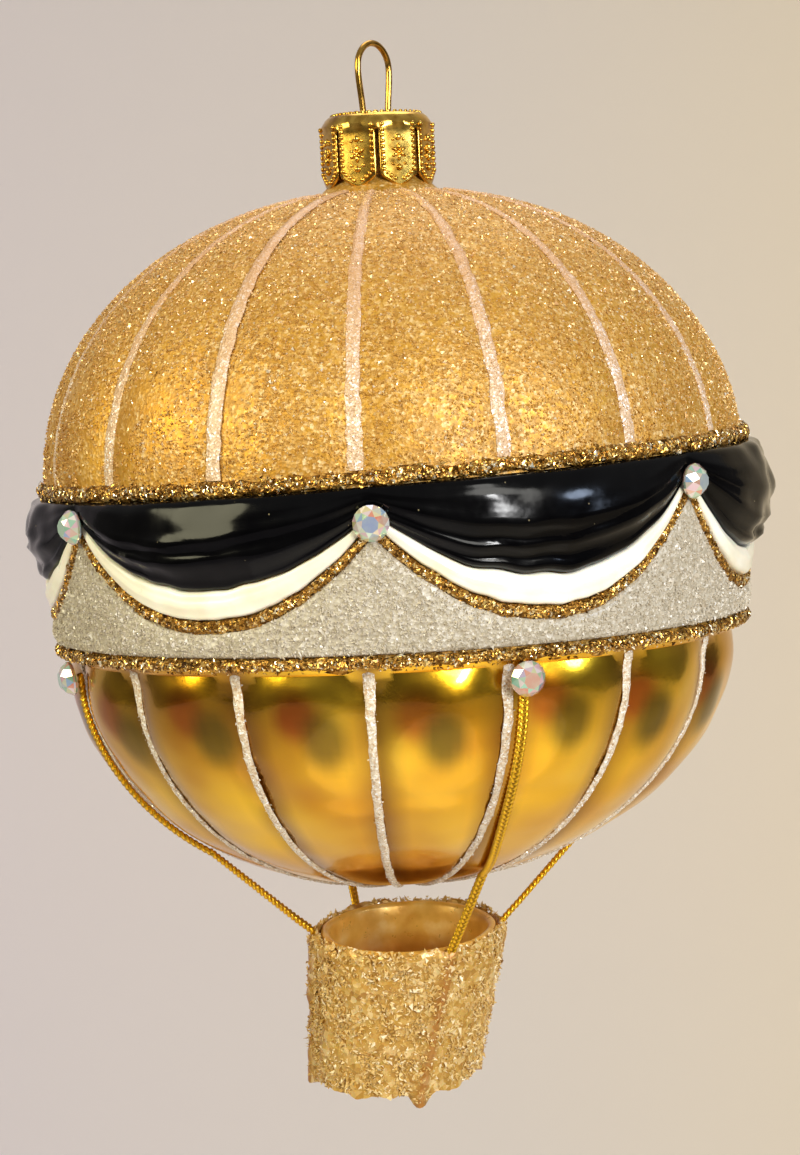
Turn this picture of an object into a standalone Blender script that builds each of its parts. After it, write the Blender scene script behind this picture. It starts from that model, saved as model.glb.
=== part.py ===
"""Blown glass tree ornament in the shape of a hot air balloon.

The origin is the inner apex of the wire hanging loop, +Z is up and -Y is the front.
An azimuth is counted in degrees from the front towards +X.
Sizes are named in millimetres and turned into metres where a mesh is made.
"""

import math

import bmesh
import bpy
from mathutils import Matrix, Vector

MM = 0.001
COLLECTION = "balloon_ornament"
SEAT_GAP = 0.3

# Glass envelope
NECK_RADIUS = 6.0
NECK_TOP_Z = -10.5
GLASS_WALL = 1.0
DOME_RADIUS = 49.1
DOME_TOP_Z = -20.3
EQUATOR_Z = -57.9
DOME_RISE_POWER = 1.9
DOME_ROUND_POWER = 2.22
BOWL_RADIUS = 47.8
BOWL_TOP_Z = -82.0
BOWL_HEIGHT = 35.8
BOWL_DRIFT_X = -1.5
GORES = 16
FIRST_SEAM = -5.8
DOME_LOBE = 1.1
BOWL_LOBE = 1.4

# Painted and glittered bands around the waist
UPPER_LINE_Z = -57.9
UPPER_LINE_RISE_RIGHT = 1.75
UPPER_LINE_RISE_BACK = 0.45
LOWER_LINE_Z = -82.0
LINE_HEIGHT = 2.6
LINE_THICK = 0.8
# Azimuth and height of each junction of two swags
JUNCTIONS = (-58.3, -3.7, 50.2, 100.5, 150.8, 201.1, 251.4)
JUNCTION_HEIGHTS = (-63.8, -64.0, -61.7, -61.6, -62.2, -63.0, -63.9)
BLACK_LOW_Z = -71.9
FESTOON_LOW_Z = -76.9
FESTOON_HEIGHT = 1.8
SKIN_THICK = 0.6
# One for each swag, counted from the first junction
BLACK_BULGES = (2.2, 2.2, 3.3, 2.6, 2.3, 2.3, 2.3)
WHITE_BULGE = 0.9
SWAG_STEPS = 8

# Stripes in the seams
STRIPE_WIDTH_DOME = 1.9
STRIPE_WIDTH_BOWL = 1.5
STRIPE_THICK = 0.4

# Crystals
STONE_DIAMETER = 4.7
STONE_TABLE = 2.2
STONE_HEIGHT = 1.9
LOWER_STONE_Z = -84.9

# Cap and hanger
CAP_TOP_Z = -9.7
CAP_TIP_Z = -20.1
CAP_RADIUS = 8.0
CAP_WALL = 0.4
CAP_TOP_RADIUS = 6.3
CAP_CHAMFER = 1.5
PETALS = 8
SLIT_WIDTH = 0.5
SLIT_TOP_Z = -12.2
PETAL_POINT = 1.9
WIRE = 0.9
LOOP_HALF_WIDTH = 4.0
LEG_HALF_WIDTH = 2.85
LEG_HALF_SPREAD = 4.2
LEG_END_Z = -30.0
LOOP_TURN = 55.0

# Basket and its cords
RIM_CENTRE = Vector((-1.4, 0.0, -124.7))
BASKET_HEIGHT = 20.2
BASKET_TILT = 6.7
BASKET_SHEAR = 2.75
CUP_RIM_RADIUS = 12.6
CUP_FOOT_RADIUS = 10.7
CUP_WALL = 1.2
COAT_THICK = 0.8
CORD = 1.0
CORD_SLOT = 1.7
CORD_TOP_Z = -84.6
# name: azimuth where the cord starts on the glass, how far it would have strayed sideways at the
# tip of the bowl, height where it leaves the glass, azimuths at the basket's rim and foot, and
# length of the end below the basket
CORDS = {
    "front": (18.8, 18.0, -113.5, 26.0, 17.0, 2.2),
    "right": (108.8, 8.0, -109.0, 93.0, 93.0, 0.9),
    "back": (198.8, 8.0, -110.0, 214.0, 214.0, 0.9),
    "left": (288.8, 8.0, -110.5, 270.0, 270.0, 1.2),
}

# Colour as linear RGB, metallic, roughness
MATERIALS = {
    "gold_glass": ((0.72, 0.46, 0.12), 0.9, 0.32),
    "gold_glitter": ((0.48, 0.27, 0.07), 0.9, 0.4),
    "black_enamel": ((0.01, 0.01, 0.012), 0.0, 0.12),
    "white_enamel": ((0.8, 0.78, 0.72), 0.0, 0.35),
    "frosted_white": ((0.7, 0.68, 0.62), 0.0, 0.7),
    "crystal": ((0.75, 0.8, 0.82), 0.0, 0.05),
    "brass": ((0.75, 0.5, 0.16), 1.0, 0.25),
    "gold_cord": ((0.68, 0.44, 0.08), 0.8, 0.4),
    "basket_glass": ((0.6, 0.4, 0.2), 0.3, 0.35),
    "basket_glitter": ((0.62, 0.48, 0.28), 0.3, 0.6),
}


def clear_scene():
    for obj in list(bpy.data.objects):
        bpy.data.objects.remove(obj, do_unlink=True)


def new_collection(name):
    collection = bpy.data.collections.new(name)
    bpy.context.scene.collection.children.link(collection)
    return collection


def make_material(name):
    colour, metallic, roughness = MATERIALS[name]
    material = bpy.data.materials.new(name)
    material.use_nodes = True
    shader = material.node_tree.nodes["Principled BSDF"]
    shader.inputs["Base Color"].default_value = (*colour, 1.0)
    shader.inputs["Metallic"].default_value = metallic
    shader.inputs["Roughness"].default_value = roughness
    return material


def unit(azimuth):
    """Horizontal direction of an azimuth."""
    angle = math.radians(azimuth)
    return Vector((math.sin(angle), -math.cos(angle), 0.0))


def azimuth_of(point):
    return math.degrees(math.atan2(point.x, -point.y))


def smooth(value):
    value = min(max(value, 0.0), 1.0)
    return value * value * (3.0 - 2.0 * value)


def glass_ridge(z):
    """Outer radius of the glass along the middle of a gore."""
    if z >= EQUATOR_Z:
        rise = min((z - EQUATOR_Z) / (DOME_TOP_Z - EQUATOR_Z), 1.0)
        radius = DOME_RADIUS * (1.0 - rise ** DOME_RISE_POWER) ** (1.0 / DOME_ROUND_POWER)
        return max(radius, NECK_RADIUS)
    if z >= BOWL_TOP_Z:
        share = (EQUATOR_Z - z) / (EQUATOR_Z - BOWL_TOP_Z)
        return DOME_RADIUS + (BOWL_RADIUS - DOME_RADIUS) * smooth(share)
    drop = min((BOWL_TOP_Z - z) / BOWL_HEIGHT, 1.0)
    return BOWL_RADIUS * math.sqrt(1.0 - drop * drop)


def lobe_depth(azimuth, z):
    """How far a seam lies under the ridge of its gores.

    The gores of the dome end under the upper glitter line.
    """
    radius = glass_ridge(z)
    line_low = upper_line(azimuth) - LINE_HEIGHT / 2
    if z >= line_low:
        fade = smooth((z - line_low) / LINE_HEIGHT)
        return DOME_LOBE * (radius - NECK_RADIUS) / DOME_RADIUS * fade
    if z <= LOWER_LINE_Z:
        return BOWL_LOBE * smooth((LOWER_LINE_Z - z) / 4.0) * radius / BOWL_RADIUS
    return 0.0


def glass_radius(azimuth, z):
    share = ((azimuth - FIRST_SEAM) / (360.0 / GORES)) % 1.0
    ridge = math.sin(math.pi * share)
    return glass_ridge(z) - lobe_depth(azimuth, z) * (1.0 - ridge) ** 1.5


def bowl_drift(z):
    """The hand blown bowl leans a little to one side towards its tip."""
    drop = max((BOWL_TOP_Z - z) / BOWL_HEIGHT, 0.0)
    return Vector((BOWL_DRIFT_X * drop * drop, 0.0, 0.0))


def on_glass(azimuth, z, lift):
    """Point at a height above the glass, measured radially."""
    point = unit(azimuth) * (glass_radius(azimuth, z) + lift)
    point.z = z
    return point + bowl_drift(z)


def glass_normal(azimuth, z):
    step = 0.4
    slope = (glass_ridge(z + step) - glass_ridge(z - step)) / (2.0 * step)
    return (unit(azimuth) - Vector((0.0, 0.0, slope))).normalized()


def swag_place(azimuth):
    """Number of the swag at an azimuth, and the share of its width that lies before it."""
    ends = JUNCTIONS + (JUNCTIONS[0] + 360.0,)
    turned = (azimuth - JUNCTIONS[0]) % 360.0 + JUNCTIONS[0]
    for number, (start, end) in enumerate(zip(ends, ends[1:])):
        if turned <= end:
            return number, (turned - start) / (end - start)
    return 0, 0.0


def upper_line(azimuth):
    """Height of the upper glitter line, which was drawn a little tilted."""
    side = unit(azimuth)
    return UPPER_LINE_Z + UPPER_LINE_RISE_RIGHT * side.x + UPPER_LINE_RISE_BACK * side.y


def hang(azimuth, low_z, offset):
    """Height of a line that hangs from junction to junction, offset from their heights."""
    number, share = swag_place(azimuth)
    start = JUNCTION_HEIGHTS[number]
    end = JUNCTION_HEIGHTS[(number + 1) % len(JUNCTIONS)]
    top_z = start + (end - start) * share + offset
    sag = 1.0 - abs(2.0 * share - 1.0) ** 2.2
    return top_z + (low_z - top_z) * sag


def swag_azimuths():
    """Azimuths of all columns of a draped ring, with one on each junction."""
    ends = JUNCTIONS + (JUNCTIONS[0] + 360.0,)
    columns = []
    for start, end in zip(ends, ends[1:]):
        columns += [start + (end - start) * i / SWAG_STEPS for i in range(SWAG_STEPS)]
    return columns


def even_azimuths(count, first=0.0):
    return [first + 360.0 * i / count for i in range(count)]


def add_object(name, mesh_builder, material, collection):
    """Turn a bmesh into a named object with its material."""
    bmesh.ops.recalc_face_normals(mesh_builder, faces=mesh_builder.faces)
    if mesh_builder.calc_volume(signed=True) < 0.0:
        bmesh.ops.reverse_faces(mesh_builder, faces=mesh_builder.faces)
    mesh = bpy.data.meshes.new(name)
    mesh_builder.to_mesh(mesh)
    mesh_builder.free()
    mesh.shade_smooth()
    mesh.set_sharp_from_angle(angle=math.radians(40.0))
    obj = bpy.data.objects.new(name, mesh)
    obj.data.materials.append(material)
    collection.objects.link(obj)
    return obj


def turned_surface(profile, columns, closed):
    """Spin a profile of (radius, z) points, with the columns at given azimuths.

    The profile is spun evenly by Blender, and each column is then turned to its azimuth.
    """
    builder = bmesh.new()
    verts = [builder.verts.new((0.0, -radius * MM, z * MM)) for radius, z in profile]
    edges = [builder.edges.new(pair) for pair in zip(verts, verts[1:])]
    if closed:
        edges.append(builder.edges.new((verts[-1], verts[0])))
    bmesh.ops.spin(
        builder, geom=verts + edges, cent=(0, 0, 0), axis=(0, 0, 1),
        angle=math.tau, steps=len(columns), use_merge=True, use_duplicate=False)
    for vert in builder.verts:
        place = azimuth_of(vert.co) % 360.0 / (360.0 / len(columns))
        azimuth = columns[round(place) % len(columns)]
        radius = math.hypot(vert.co.x, vert.co.y)
        vert.co = unit(azimuth) * radius + Vector((0, 0, vert.co.z))
    return builder


def ring_between(name, columns, top, bottom, bulge, material, collection, rows=4):
    """Closed ring on the glass between two hanging lines.

    top and bottom give a height at an azimuth, bulge the thickness at (azimuth, share).
    Each profile row stands at radius 1000 + its row, so that it can be told apart.
    """
    shares = [i / rows for i in range(rows + 1)]
    outer = [(1000.0 + i, 0.0) for i in range(rows + 1)]
    inner = [(2000.0 + i, 0.0) for i in range(rows, -1, -1)]
    builder = turned_surface(outer + inner, columns, closed=True)
    for vert in builder.verts:
        marker = round(math.hypot(vert.co.x, vert.co.y) / MM)
        azimuth = azimuth_of(vert.co)
        share = shares[marker % 1000]
        z = top(azimuth) + (bottom(azimuth) - top(azimuth)) * share
        lift = SEAT_GAP + (bulge(azimuth, share) if marker < 2000 else 0.0)
        vert.co = on_glass(azimuth, z, lift) * MM
    return add_object(name, builder, material, collection)


def build_envelope(material, collection):
    """Glass shell with its gores, open at the neck."""
    heights = [NECK_TOP_Z, -17.0, -19.9, -20.9, -22.2, -24.5, -28.0, -32.5, -37.5, -42.5, -47.5, -53.0]
    heights += [UPPER_LINE_Z + LINE_HEIGHT / 2, UPPER_LINE_Z - LINE_HEIGHT / 2, -70.0, LOWER_LINE_Z, -84.0, -86.5]
    heights += [BOWL_TOP_Z - BOWL_HEIGHT * math.sin(math.radians(angle)) for angle in range(15, 90, 9)]
    profile = [(glass_ridge(z), z) for z in heights] + [(0.0, BOWL_TOP_Z - BOWL_HEIGHT)]
    builder = turned_surface(profile, even_azimuths(GORES * 4, FIRST_SEAM), closed=False)
    bmesh.ops.remove_doubles(builder, verts=builder.verts, dist=1e-6)
    for vert in builder.verts:
        z = vert.co.z / MM
        azimuth = azimuth_of(vert.co)
        if abs(z - UPPER_LINE_Z) < LINE_HEIGHT:
            z += upper_line(azimuth) - UPPER_LINE_Z
        if math.hypot(vert.co.x, vert.co.y) > 1e-6:
            vert.co = on_glass(azimuth, z, 0.0) * MM
        else:
            vert.co += bowl_drift(z) * MM
    shell = add_object("glass_envelope", builder, material, collection)
    wall = shell.modifiers.new("wall", "SOLIDIFY")
    wall.thickness = GLASS_WALL * MM
    wall.offset = -1.0
    return shell


def build_lines(materials, collection):
    """The two glitter lines around the waist."""
    lines = (("upper_glitter_line", upper_line), ("lower_glitter_line", lambda azimuth: LOWER_LINE_Z))
    for name, middle in lines:
        ring_between(
            name, even_azimuths(GORES * 4, FIRST_SEAM),
            lambda azimuth, line=middle: line(azimuth) + LINE_HEIGHT / 2,
            lambda azimuth, line=middle: line(azimuth) - LINE_HEIGHT / 2,
            lambda azimuth, share: LINE_THICK * (0.5 + 0.5 * math.sin(math.pi * share)),
            materials["gold_glitter"], collection, rows=2)


def build_drapes(materials, collection):
    """Black drape, white drape, glitter festoons and the frosted band below them."""
    columns = swag_azimuths()
    line_top = LOWER_LINE_Z + LINE_HEIGHT / 2 + SEAT_GAP
    black_pinch = 1.2
    white_pinch = 0.7

    def black_top(azimuth):
        return upper_line(azimuth) - LINE_HEIGHT / 2 - SEAT_GAP

    def black_low(azimuth):
        return hang(azimuth, BLACK_LOW_Z, black_pinch)

    def white_top(azimuth):
        return black_low(azimuth) - SEAT_GAP

    def festoon_top(azimuth):
        middle = hang(azimuth, FESTOON_LOW_Z, black_pinch - SEAT_GAP * 2 - white_pinch - FESTOON_HEIGHT / 2)
        return middle + FESTOON_HEIGHT / 2

    def fullness(azimuth):
        return abs(math.sin(math.pi * swag_place(azimuth)[1])) ** 0.7

    def black_bulge(azimuth):
        return BLACK_BULGES[swag_place(azimuth)[0]] * fullness(azimuth)

    ring_between(
        "black_drape", columns, black_top, black_low,
        lambda azimuth, share: SKIN_THICK
        + black_bulge(azimuth) * math.sin(math.pi * (0.1 + 0.8 * share)),
        materials["black_enamel"], collection, rows=6)
    ring_between(
        "white_drape", columns, white_top, lambda azimuth: festoon_top(azimuth) + SEAT_GAP,
        lambda azimuth, share: SKIN_THICK
        + WHITE_BULGE * fullness(azimuth) * math.sin(math.pi * (0.15 + 0.7 * share)),
        materials["white_enamel"], collection)
    ring_between(
        "glitter_festoons", columns, festoon_top,
        lambda azimuth: festoon_top(azimuth) - FESTOON_HEIGHT,
        lambda azimuth, share: LINE_THICK * (0.6 + 0.6 * math.sin(math.pi * share)),
        materials["gold_glitter"], collection, rows=3)
    ring_between(
        "frosted_band", columns,
        lambda azimuth: festoon_top(azimuth) - FESTOON_HEIGHT - SEAT_GAP,
        lambda azimuth: line_top,
        lambda azimuth, share: SKIN_THICK * (1.0 + 0.6 * math.sin(math.pi * share)),
        materials["frosted_white"], collection)


def stripe_ring(name, heights, end_height, collar_rows, width, material, collection):
    """Stripes in all seams, joined by a collar along the first rows of heights.

    end_height gives the height at which a stripe meets its glitter line, at a seam's azimuth.
    """
    columns = even_azimuths(GORES * 2, FIRST_SEAM - 90.0 / GORES)
    profile = [(1000.0 + i, 0.0) for i in range(len(heights) + 1)]
    builder = turned_surface(profile, columns, closed=False)
    pitch = 360.0 / GORES
    for face in list(builder.faces):
        centre = face.calc_center_median()
        share = ((azimuth_of(centre) - FIRST_SEAM) / pitch) % 1.0
        row = math.hypot(centre.x, centre.y) / math.cos(math.pi / len(columns)) / MM - 1000.0
        if abs(share - 0.5) < 0.25 and row > collar_rows:
            builder.faces.remove(face)
    loose = [edge for edge in builder.edges if not edge.link_faces]
    bmesh.ops.delete(builder, geom=loose, context="EDGES")
    for vert in builder.verts:
        row = round(math.hypot(vert.co.x, vert.co.y) / MM) - 1000
        azimuth = azimuth_of(vert.co)
        seam = FIRST_SEAM + pitch * round((azimuth - FIRST_SEAM) / pitch)
        z = heights[row] if row < len(heights) else end_height(seam)
        radius = glass_radius(seam, z)
        side = math.copysign(1.0, azimuth - seam)
        half = math.degrees(math.asin(min(width(z) / 2.0 / radius, 0.5)))
        vert.co = on_glass(seam + side * half, z, 0.0) * MM
        vert.co += glass_normal(seam, z) * SEAT_GAP * MM
    stripes = add_object(name, builder, material, collection)
    thick = stripes.modifiers.new("thickness", "SOLIDIFY")
    thick.thickness = STRIPE_THICK * MM
    thick.offset = 1.0
    return stripes


def build_stripes(materials, collection):
    """White stripes of the dome and of the bowl."""
    dome = [-21.3, -21.7, -23.2, -25.5, -29.0, -34.0, -40.0, -46.5, -52.5]
    stripe_ring(
        "upper_stripes", dome, lambda azimuth: upper_line(azimuth) + LINE_HEIGHT / 2 + SEAT_GAP, 1,
        lambda z: STRIPE_WIDTH_DOME * (0.45 + 0.55 * glass_ridge(z) / DOME_RADIUS),
        materials["white_enamel"], collection)
    steps = [88.0, 85.5, 80.0, 72.0, 62.0, 52.0, 42.0, 32.0, 22.0, 13.0, 7.0]
    bowl = [BOWL_TOP_Z - BOWL_HEIGHT * math.sin(math.radians(angle)) for angle in steps]
    stripe_ring(
        "lower_stripes", bowl, lambda azimuth: LOWER_LINE_Z - LINE_HEIGHT / 2 - SEAT_GAP, 1,
        lambda z: min(STRIPE_WIDTH_BOWL, glass_ridge(z) * 0.16),
        materials["white_enamel"], collection)


def build_stone(name, azimuth, z, lift, material, collection):
    """Flat backed crystal: a short girdle under a cut crown."""
    normal = glass_normal(azimuth, z)
    seat = on_glass(azimuth, z, 0.0) + normal * lift
    builder = bmesh.new()
    bmesh.ops.create_cone(
        builder, cap_ends=True, segments=16,
        radius1=STONE_DIAMETER / 2 * MM, radius2=STONE_TABLE / 2 * MM,
        depth=STONE_HEIGHT * MM,
        matrix=Matrix.Translation((0, 0, STONE_HEIGHT / 2 * MM)))
    stone = add_object(name, builder, material, collection)
    stone.rotation_euler = normal.to_track_quat("Z", "Y").to_euler()
    stone.location = seat * MM
    return stone


def build_stones(materials, collection):
    """Crystals on the swag junctions and over the upper ends of the cords."""
    for number, (azimuth, z) in enumerate(zip(JUNCTIONS, JUNCTION_HEIGHTS), start=1):
        build_stone(
            f"crystal_upper_{number}", azimuth, z,
            SEAT_GAP * 2 + LINE_THICK * 1.2, materials["crystal"], collection)
    for name, (azimuth, *_) in CORDS.items():
        build_stone(
            f"crystal_lower_{name}", azimuth, LOWER_STONE_Z,
            SEAT_GAP * 2 + LINE_THICK + CORD / 2, materials["crystal"], collection)


def tube_along(name, points, diameter, material, collection):
    """Round wire or cord through points given in millimetres."""
    curve = bpy.data.curves.new(name, "CURVE")
    curve.dimensions = "3D"
    curve.bevel_depth = diameter / 2 * MM
    curve.bevel_resolution = 2
    curve.use_fill_caps = True
    spline = curve.splines.new("POLY")
    spline.points.add(len(points) - 1)
    for target, point in zip(spline.points, points):
        target.co = (*(point * MM), 1.0)
    tube = bpy.data.objects.new(name, curve)
    tube.data.materials.append(material)
    collection.objects.link(tube)
    return tube


def basket_matrix():
    """Places the basket: sheared to one side, tilted forward, hung at its rim centre."""
    shear = Matrix.Identity(4)
    shear[0][2] = BASKET_SHEAR / BASKET_HEIGHT
    tilt = Matrix.Rotation(math.radians(BASKET_TILT), 4, "X")
    return Matrix.Translation(RIM_CENTRE * MM) @ tilt @ shear


def cup_radius(depth):
    """Outer radius of the glass cup at a depth below its rim."""
    return CUP_RIM_RADIUS + (CUP_FOOT_RADIUS - CUP_RIM_RADIUS) * depth / BASKET_HEIGHT


def cord_points(azimuth, wander, leave_z, rim_azimuth, foot_azimuth, end_length):
    """Route of a cord: glued down the glass, taut to the rim, down the basket's side."""
    place = basket_matrix()
    outside = SEAT_GAP + CORD / 2

    def on_cup(depth):
        turned = rim_azimuth + (foot_azimuth - rim_azimuth) * depth / BASKET_HEIGHT
        local = unit(turned) * (cup_radius(depth) + outside) - Vector((0, 0, depth))
        return place @ (local * MM) / MM

    rim = on_cup(0.4)
    route = []
    steps = 22
    for step in range(steps + 1):
        z = CORD_TOP_Z + (leave_z - CORD_TOP_Z) * math.sin(math.pi / 2 * step / steps)
        drop = (CORD_TOP_Z - z) / (CORD_TOP_Z - BOWL_TOP_Z + BOWL_HEIGHT)
        strayed = azimuth + wander * drop ** 6
        route.append(on_glass(strayed, z, 0.0) + glass_normal(strayed, z) * outside)
    leave = route[-1]
    route += [leave.lerp(rim, share) for share in (0.2, 0.4, 0.6, 0.8)]
    depths = [0.4, 2.0, 5.0, 9.0, 13.0, 17.0, BASKET_HEIGHT + end_length]
    return route + [on_cup(depth) for depth in depths]


def build_cords(materials, collection):
    """Four braided cords that carry the basket."""
    for name, route in CORDS.items():
        tube_along(f"cord_{name}", cord_points(*route), CORD, materials["gold_cord"], collection)


def build_basket(materials, collection, cutters):
    """Glass cup and the crushed glass coat around it, slotted for the cords."""
    columns = even_azimuths(48)
    cup_profile = [(CUP_RIM_RADIUS, 0.0), (CUP_FOOT_RADIUS, -BASKET_HEIGHT), (0.0, -BASKET_HEIGHT)]
    builder = turned_surface(cup_profile, columns, closed=False)
    bmesh.ops.remove_doubles(builder, verts=builder.verts, dist=1e-6)
    cup = add_object("basket_cup", builder, materials["basket_glass"], collection)
    wall = cup.modifiers.new("wall", "SOLIDIFY")
    wall.thickness = CUP_WALL * MM
    wall.offset = -1.0
    wall.use_even_offset = True

    coat_profile = [
        (CUP_RIM_RADIUS + SEAT_GAP, -0.6),
        (CUP_FOOT_RADIUS + SEAT_GAP, -BASKET_HEIGHT - SEAT_GAP),
        (0.0, -BASKET_HEIGHT - SEAT_GAP),
    ]
    builder = turned_surface(coat_profile, columns, closed=False)
    bmesh.ops.remove_doubles(builder, verts=builder.verts, dist=1e-6)
    coat = add_object("basket_coat", builder, materials["basket_glitter"], collection)
    crust = coat.modifiers.new("crust", "SOLIDIFY")
    crust.thickness = COAT_THICK * MM
    crust.offset = 1.0
    crust.use_even_offset = True
    place = basket_matrix()
    for name, (_, _, _, rim_azimuth, foot_azimuth, _) in CORDS.items():
        slot = add_cutter_box(f"slot_{name}", cutters)
        radius = (CUP_RIM_RADIUS + CUP_FOOT_RADIUS) / 2
        azimuth = (rim_azimuth + foot_azimuth) / 2
        middle = unit(azimuth) * (radius + SEAT_GAP + CORD / 2) - Vector((0, 0, BASKET_HEIGHT / 2))
        lean = math.atan((CUP_RIM_RADIUS - CUP_FOOT_RADIUS) / BASKET_HEIGHT)
        slant = math.atan(math.radians(rim_azimuth - foot_azimuth) * radius / BASKET_HEIGHT)
        slot.data.transform(
            Matrix.Translation(middle * MM)
            @ Matrix.Rotation(math.radians(azimuth), 4, "Z")
            @ Matrix.Rotation(lean, 4, "X")
            @ Matrix.Rotation(slant, 4, "Y")
            @ Matrix.Diagonal((CORD_SLOT * MM, CORD_SLOT * MM, BASKET_HEIGHT * 1.5 * MM, 1.0)))
        slot.data.transform(place)
        cut = coat.modifiers.new(f"slot_{name}", "BOOLEAN")
        cut.operation = "DIFFERENCE"
        cut.object = slot
    for obj in (cup, coat):
        obj.data.transform(place)


def add_cutter_box(name, cutters):
    builder = bmesh.new()
    bmesh.ops.create_cube(builder, size=1.0)
    mesh = bpy.data.meshes.new(name)
    builder.to_mesh(mesh)
    builder.free()
    box = bpy.data.objects.new(name, mesh)
    box.hide_render = True
    box.display_type = "WIRE"
    cutters.objects.link(box)
    return box


def build_cap(materials, collection, cutters):
    """Stamped crown cap: flat top, chamfer, and a skirt slit into pointed petals."""
    mid_z = CAP_TIP_Z + PETAL_POINT
    profile = [
        (0.0, CAP_TOP_Z), (CAP_TOP_RADIUS, CAP_TOP_Z),
        (CAP_RADIUS - 0.3, CAP_TOP_Z - CAP_CHAMFER), (CAP_RADIUS, mid_z), (CAP_RADIUS, CAP_TIP_Z),
    ]
    builder = turned_surface(profile, even_azimuths(PETALS * 6), closed=False)
    bmesh.ops.remove_doubles(builder, verts=builder.verts, dist=1e-6)
    for vert in builder.verts:
        if abs(vert.co.z / MM - CAP_TIP_Z) < 0.01:
            share = (azimuth_of(vert.co) / (360.0 / PETALS)) % 1.0
            vert.co.z += PETAL_POINT * 0.9 * abs(2.0 * share - 1.0) * MM
    cap = add_object("metal_cap", builder, materials["brass"], collection)
    wall = cap.modifiers.new("wall", "SOLIDIFY")
    wall.thickness = CAP_WALL * MM
    wall.offset = -1.0
    wall.use_even_offset = True
    for number in range(PETALS // 2):
        slit = add_cutter_box(f"petal_slit_{number}", cutters)
        height = SLIT_TOP_Z - CAP_TIP_Z + 2.0
        slit.data.transform(Matrix.Diagonal((SLIT_WIDTH * MM, CAP_RADIUS * 3 * MM, height * MM, 1.0)))
        slit.location = (0, 0, (SLIT_TOP_Z - height / 2) * MM)
        slit.rotation_euler.z = math.radians(360.0 / PETALS * number)
        cut = cap.modifiers.new(f"slit_{number}", "BOOLEAN")
        cut.operation = "DIFFERENCE"
        cut.object = slit
    for side in (-1, 1):
        hole = add_wire_hole(f"wire_hole_{side}", side, cutters)
        cut = cap.modifiers.new(f"wire_hole_{side}", "BOOLEAN")
        cut.operation = "DIFFERENCE"
        cut.object = hole


def add_wire_hole(name, side, cutters):
    builder = bmesh.new()
    bmesh.ops.create_cone(
        builder, cap_ends=True, segments=16, radius1=(WIRE / 2 + SEAT_GAP) * MM,
        radius2=(WIRE / 2 + SEAT_GAP) * MM, depth=4.0 * MM)
    mesh = bpy.data.meshes.new(name)
    builder.to_mesh(mesh)
    builder.free()
    hole = bpy.data.objects.new(name, mesh)
    turn = Matrix.Rotation(math.radians(LOOP_TURN), 4, "Z")
    hole.location = turn @ Vector((side * LEG_HALF_WIDTH, 0.0, CAP_TOP_Z)) * MM
    hole.hide_render = True
    hole.display_type = "WIRE"
    cutters.objects.link(hole)
    return hole


def build_hanger(materials, collection):
    """Wire loop above the cap, whose two spring legs reach down into the neck."""
    arch_z = WIRE / 2 - LOOP_HALF_WIDTH
    right = [(LEG_HALF_SPREAD, LEG_END_Z), (LEG_HALF_SPREAD - 0.5, -24.0)]
    right += [(LEG_HALF_WIDTH + 0.3, -14.0), (LEG_HALF_WIDTH, CAP_TOP_Z - 1.5)]
    right += [(LEG_HALF_WIDTH, CAP_TOP_Z + 1.0), (LEG_HALF_WIDTH + 0.5, CAP_TOP_Z + 2.4)]
    arch = [
        (LOOP_HALF_WIDTH * math.cos(math.radians(angle)),
         arch_z + LOOP_HALF_WIDTH * math.sin(math.radians(angle)))
        for angle in range(0, 181, 15)
    ]
    left = [(-across, z) for across, z in reversed(right)]
    turn = Matrix.Rotation(math.radians(LOOP_TURN), 4, "Z")
    points = [turn @ Vector((across, 0.0, z)) for across, z in right + arch + left]
    tube_along("wire_hanger", points, WIRE, materials["brass"], collection)


def main():
    clear_scene()
    collection = new_collection(COLLECTION)
    cutters = new_collection("cutters")
    materials = {name: make_material(name) for name in MATERIALS}
    build_envelope(materials["gold_glass"], collection)
    build_lines(materials, collection)
    build_drapes(materials, collection)
    build_stripes(materials, collection)
    build_stones(materials, collection)
    build_cap(materials, collection, cutters)
    build_hanger(materials, collection)
    build_basket(materials, collection, cutters)
    build_cords(materials, collection)


main()
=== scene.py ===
"""Looks of a blown glass Christmas tree ornament in the shape of a hot air balloon.

Sizes are named in millimetres and turned into metres where a mesh or a texture is made.
The origin is the inner apex of the wire hanging loop, +Z is up and -Y is the front.
An azimuth is counted in degrees from the front towards +X.
"""

import logging
import math
from abc import ABC, abstractmethod
from dataclasses import dataclass, field
from enum import Enum
from typing import Any, Callable, ClassVar, Mapping, Sequence

import bmesh
import bpy
import numpy as np
from mathutils import Matrix, Vector
from mathutils.kdtree import KDTree


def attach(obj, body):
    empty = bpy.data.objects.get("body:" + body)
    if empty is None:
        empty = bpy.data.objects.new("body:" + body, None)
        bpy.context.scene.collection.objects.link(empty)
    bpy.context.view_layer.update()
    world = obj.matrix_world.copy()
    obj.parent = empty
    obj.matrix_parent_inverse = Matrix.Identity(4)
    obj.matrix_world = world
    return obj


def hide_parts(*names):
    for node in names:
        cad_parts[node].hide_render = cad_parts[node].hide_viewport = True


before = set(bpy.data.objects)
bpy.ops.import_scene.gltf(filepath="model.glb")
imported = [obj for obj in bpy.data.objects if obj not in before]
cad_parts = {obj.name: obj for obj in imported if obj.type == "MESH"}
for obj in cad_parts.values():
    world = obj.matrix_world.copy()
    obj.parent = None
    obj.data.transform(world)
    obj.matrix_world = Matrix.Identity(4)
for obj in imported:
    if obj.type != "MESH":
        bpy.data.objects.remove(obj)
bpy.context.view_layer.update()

MM = 0.001
SEAT_GAP = 0.3
LOG = logging.getLogger("balloon")

Array = np.ndarray
Place = Callable[[Array, Array], Array]


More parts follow.
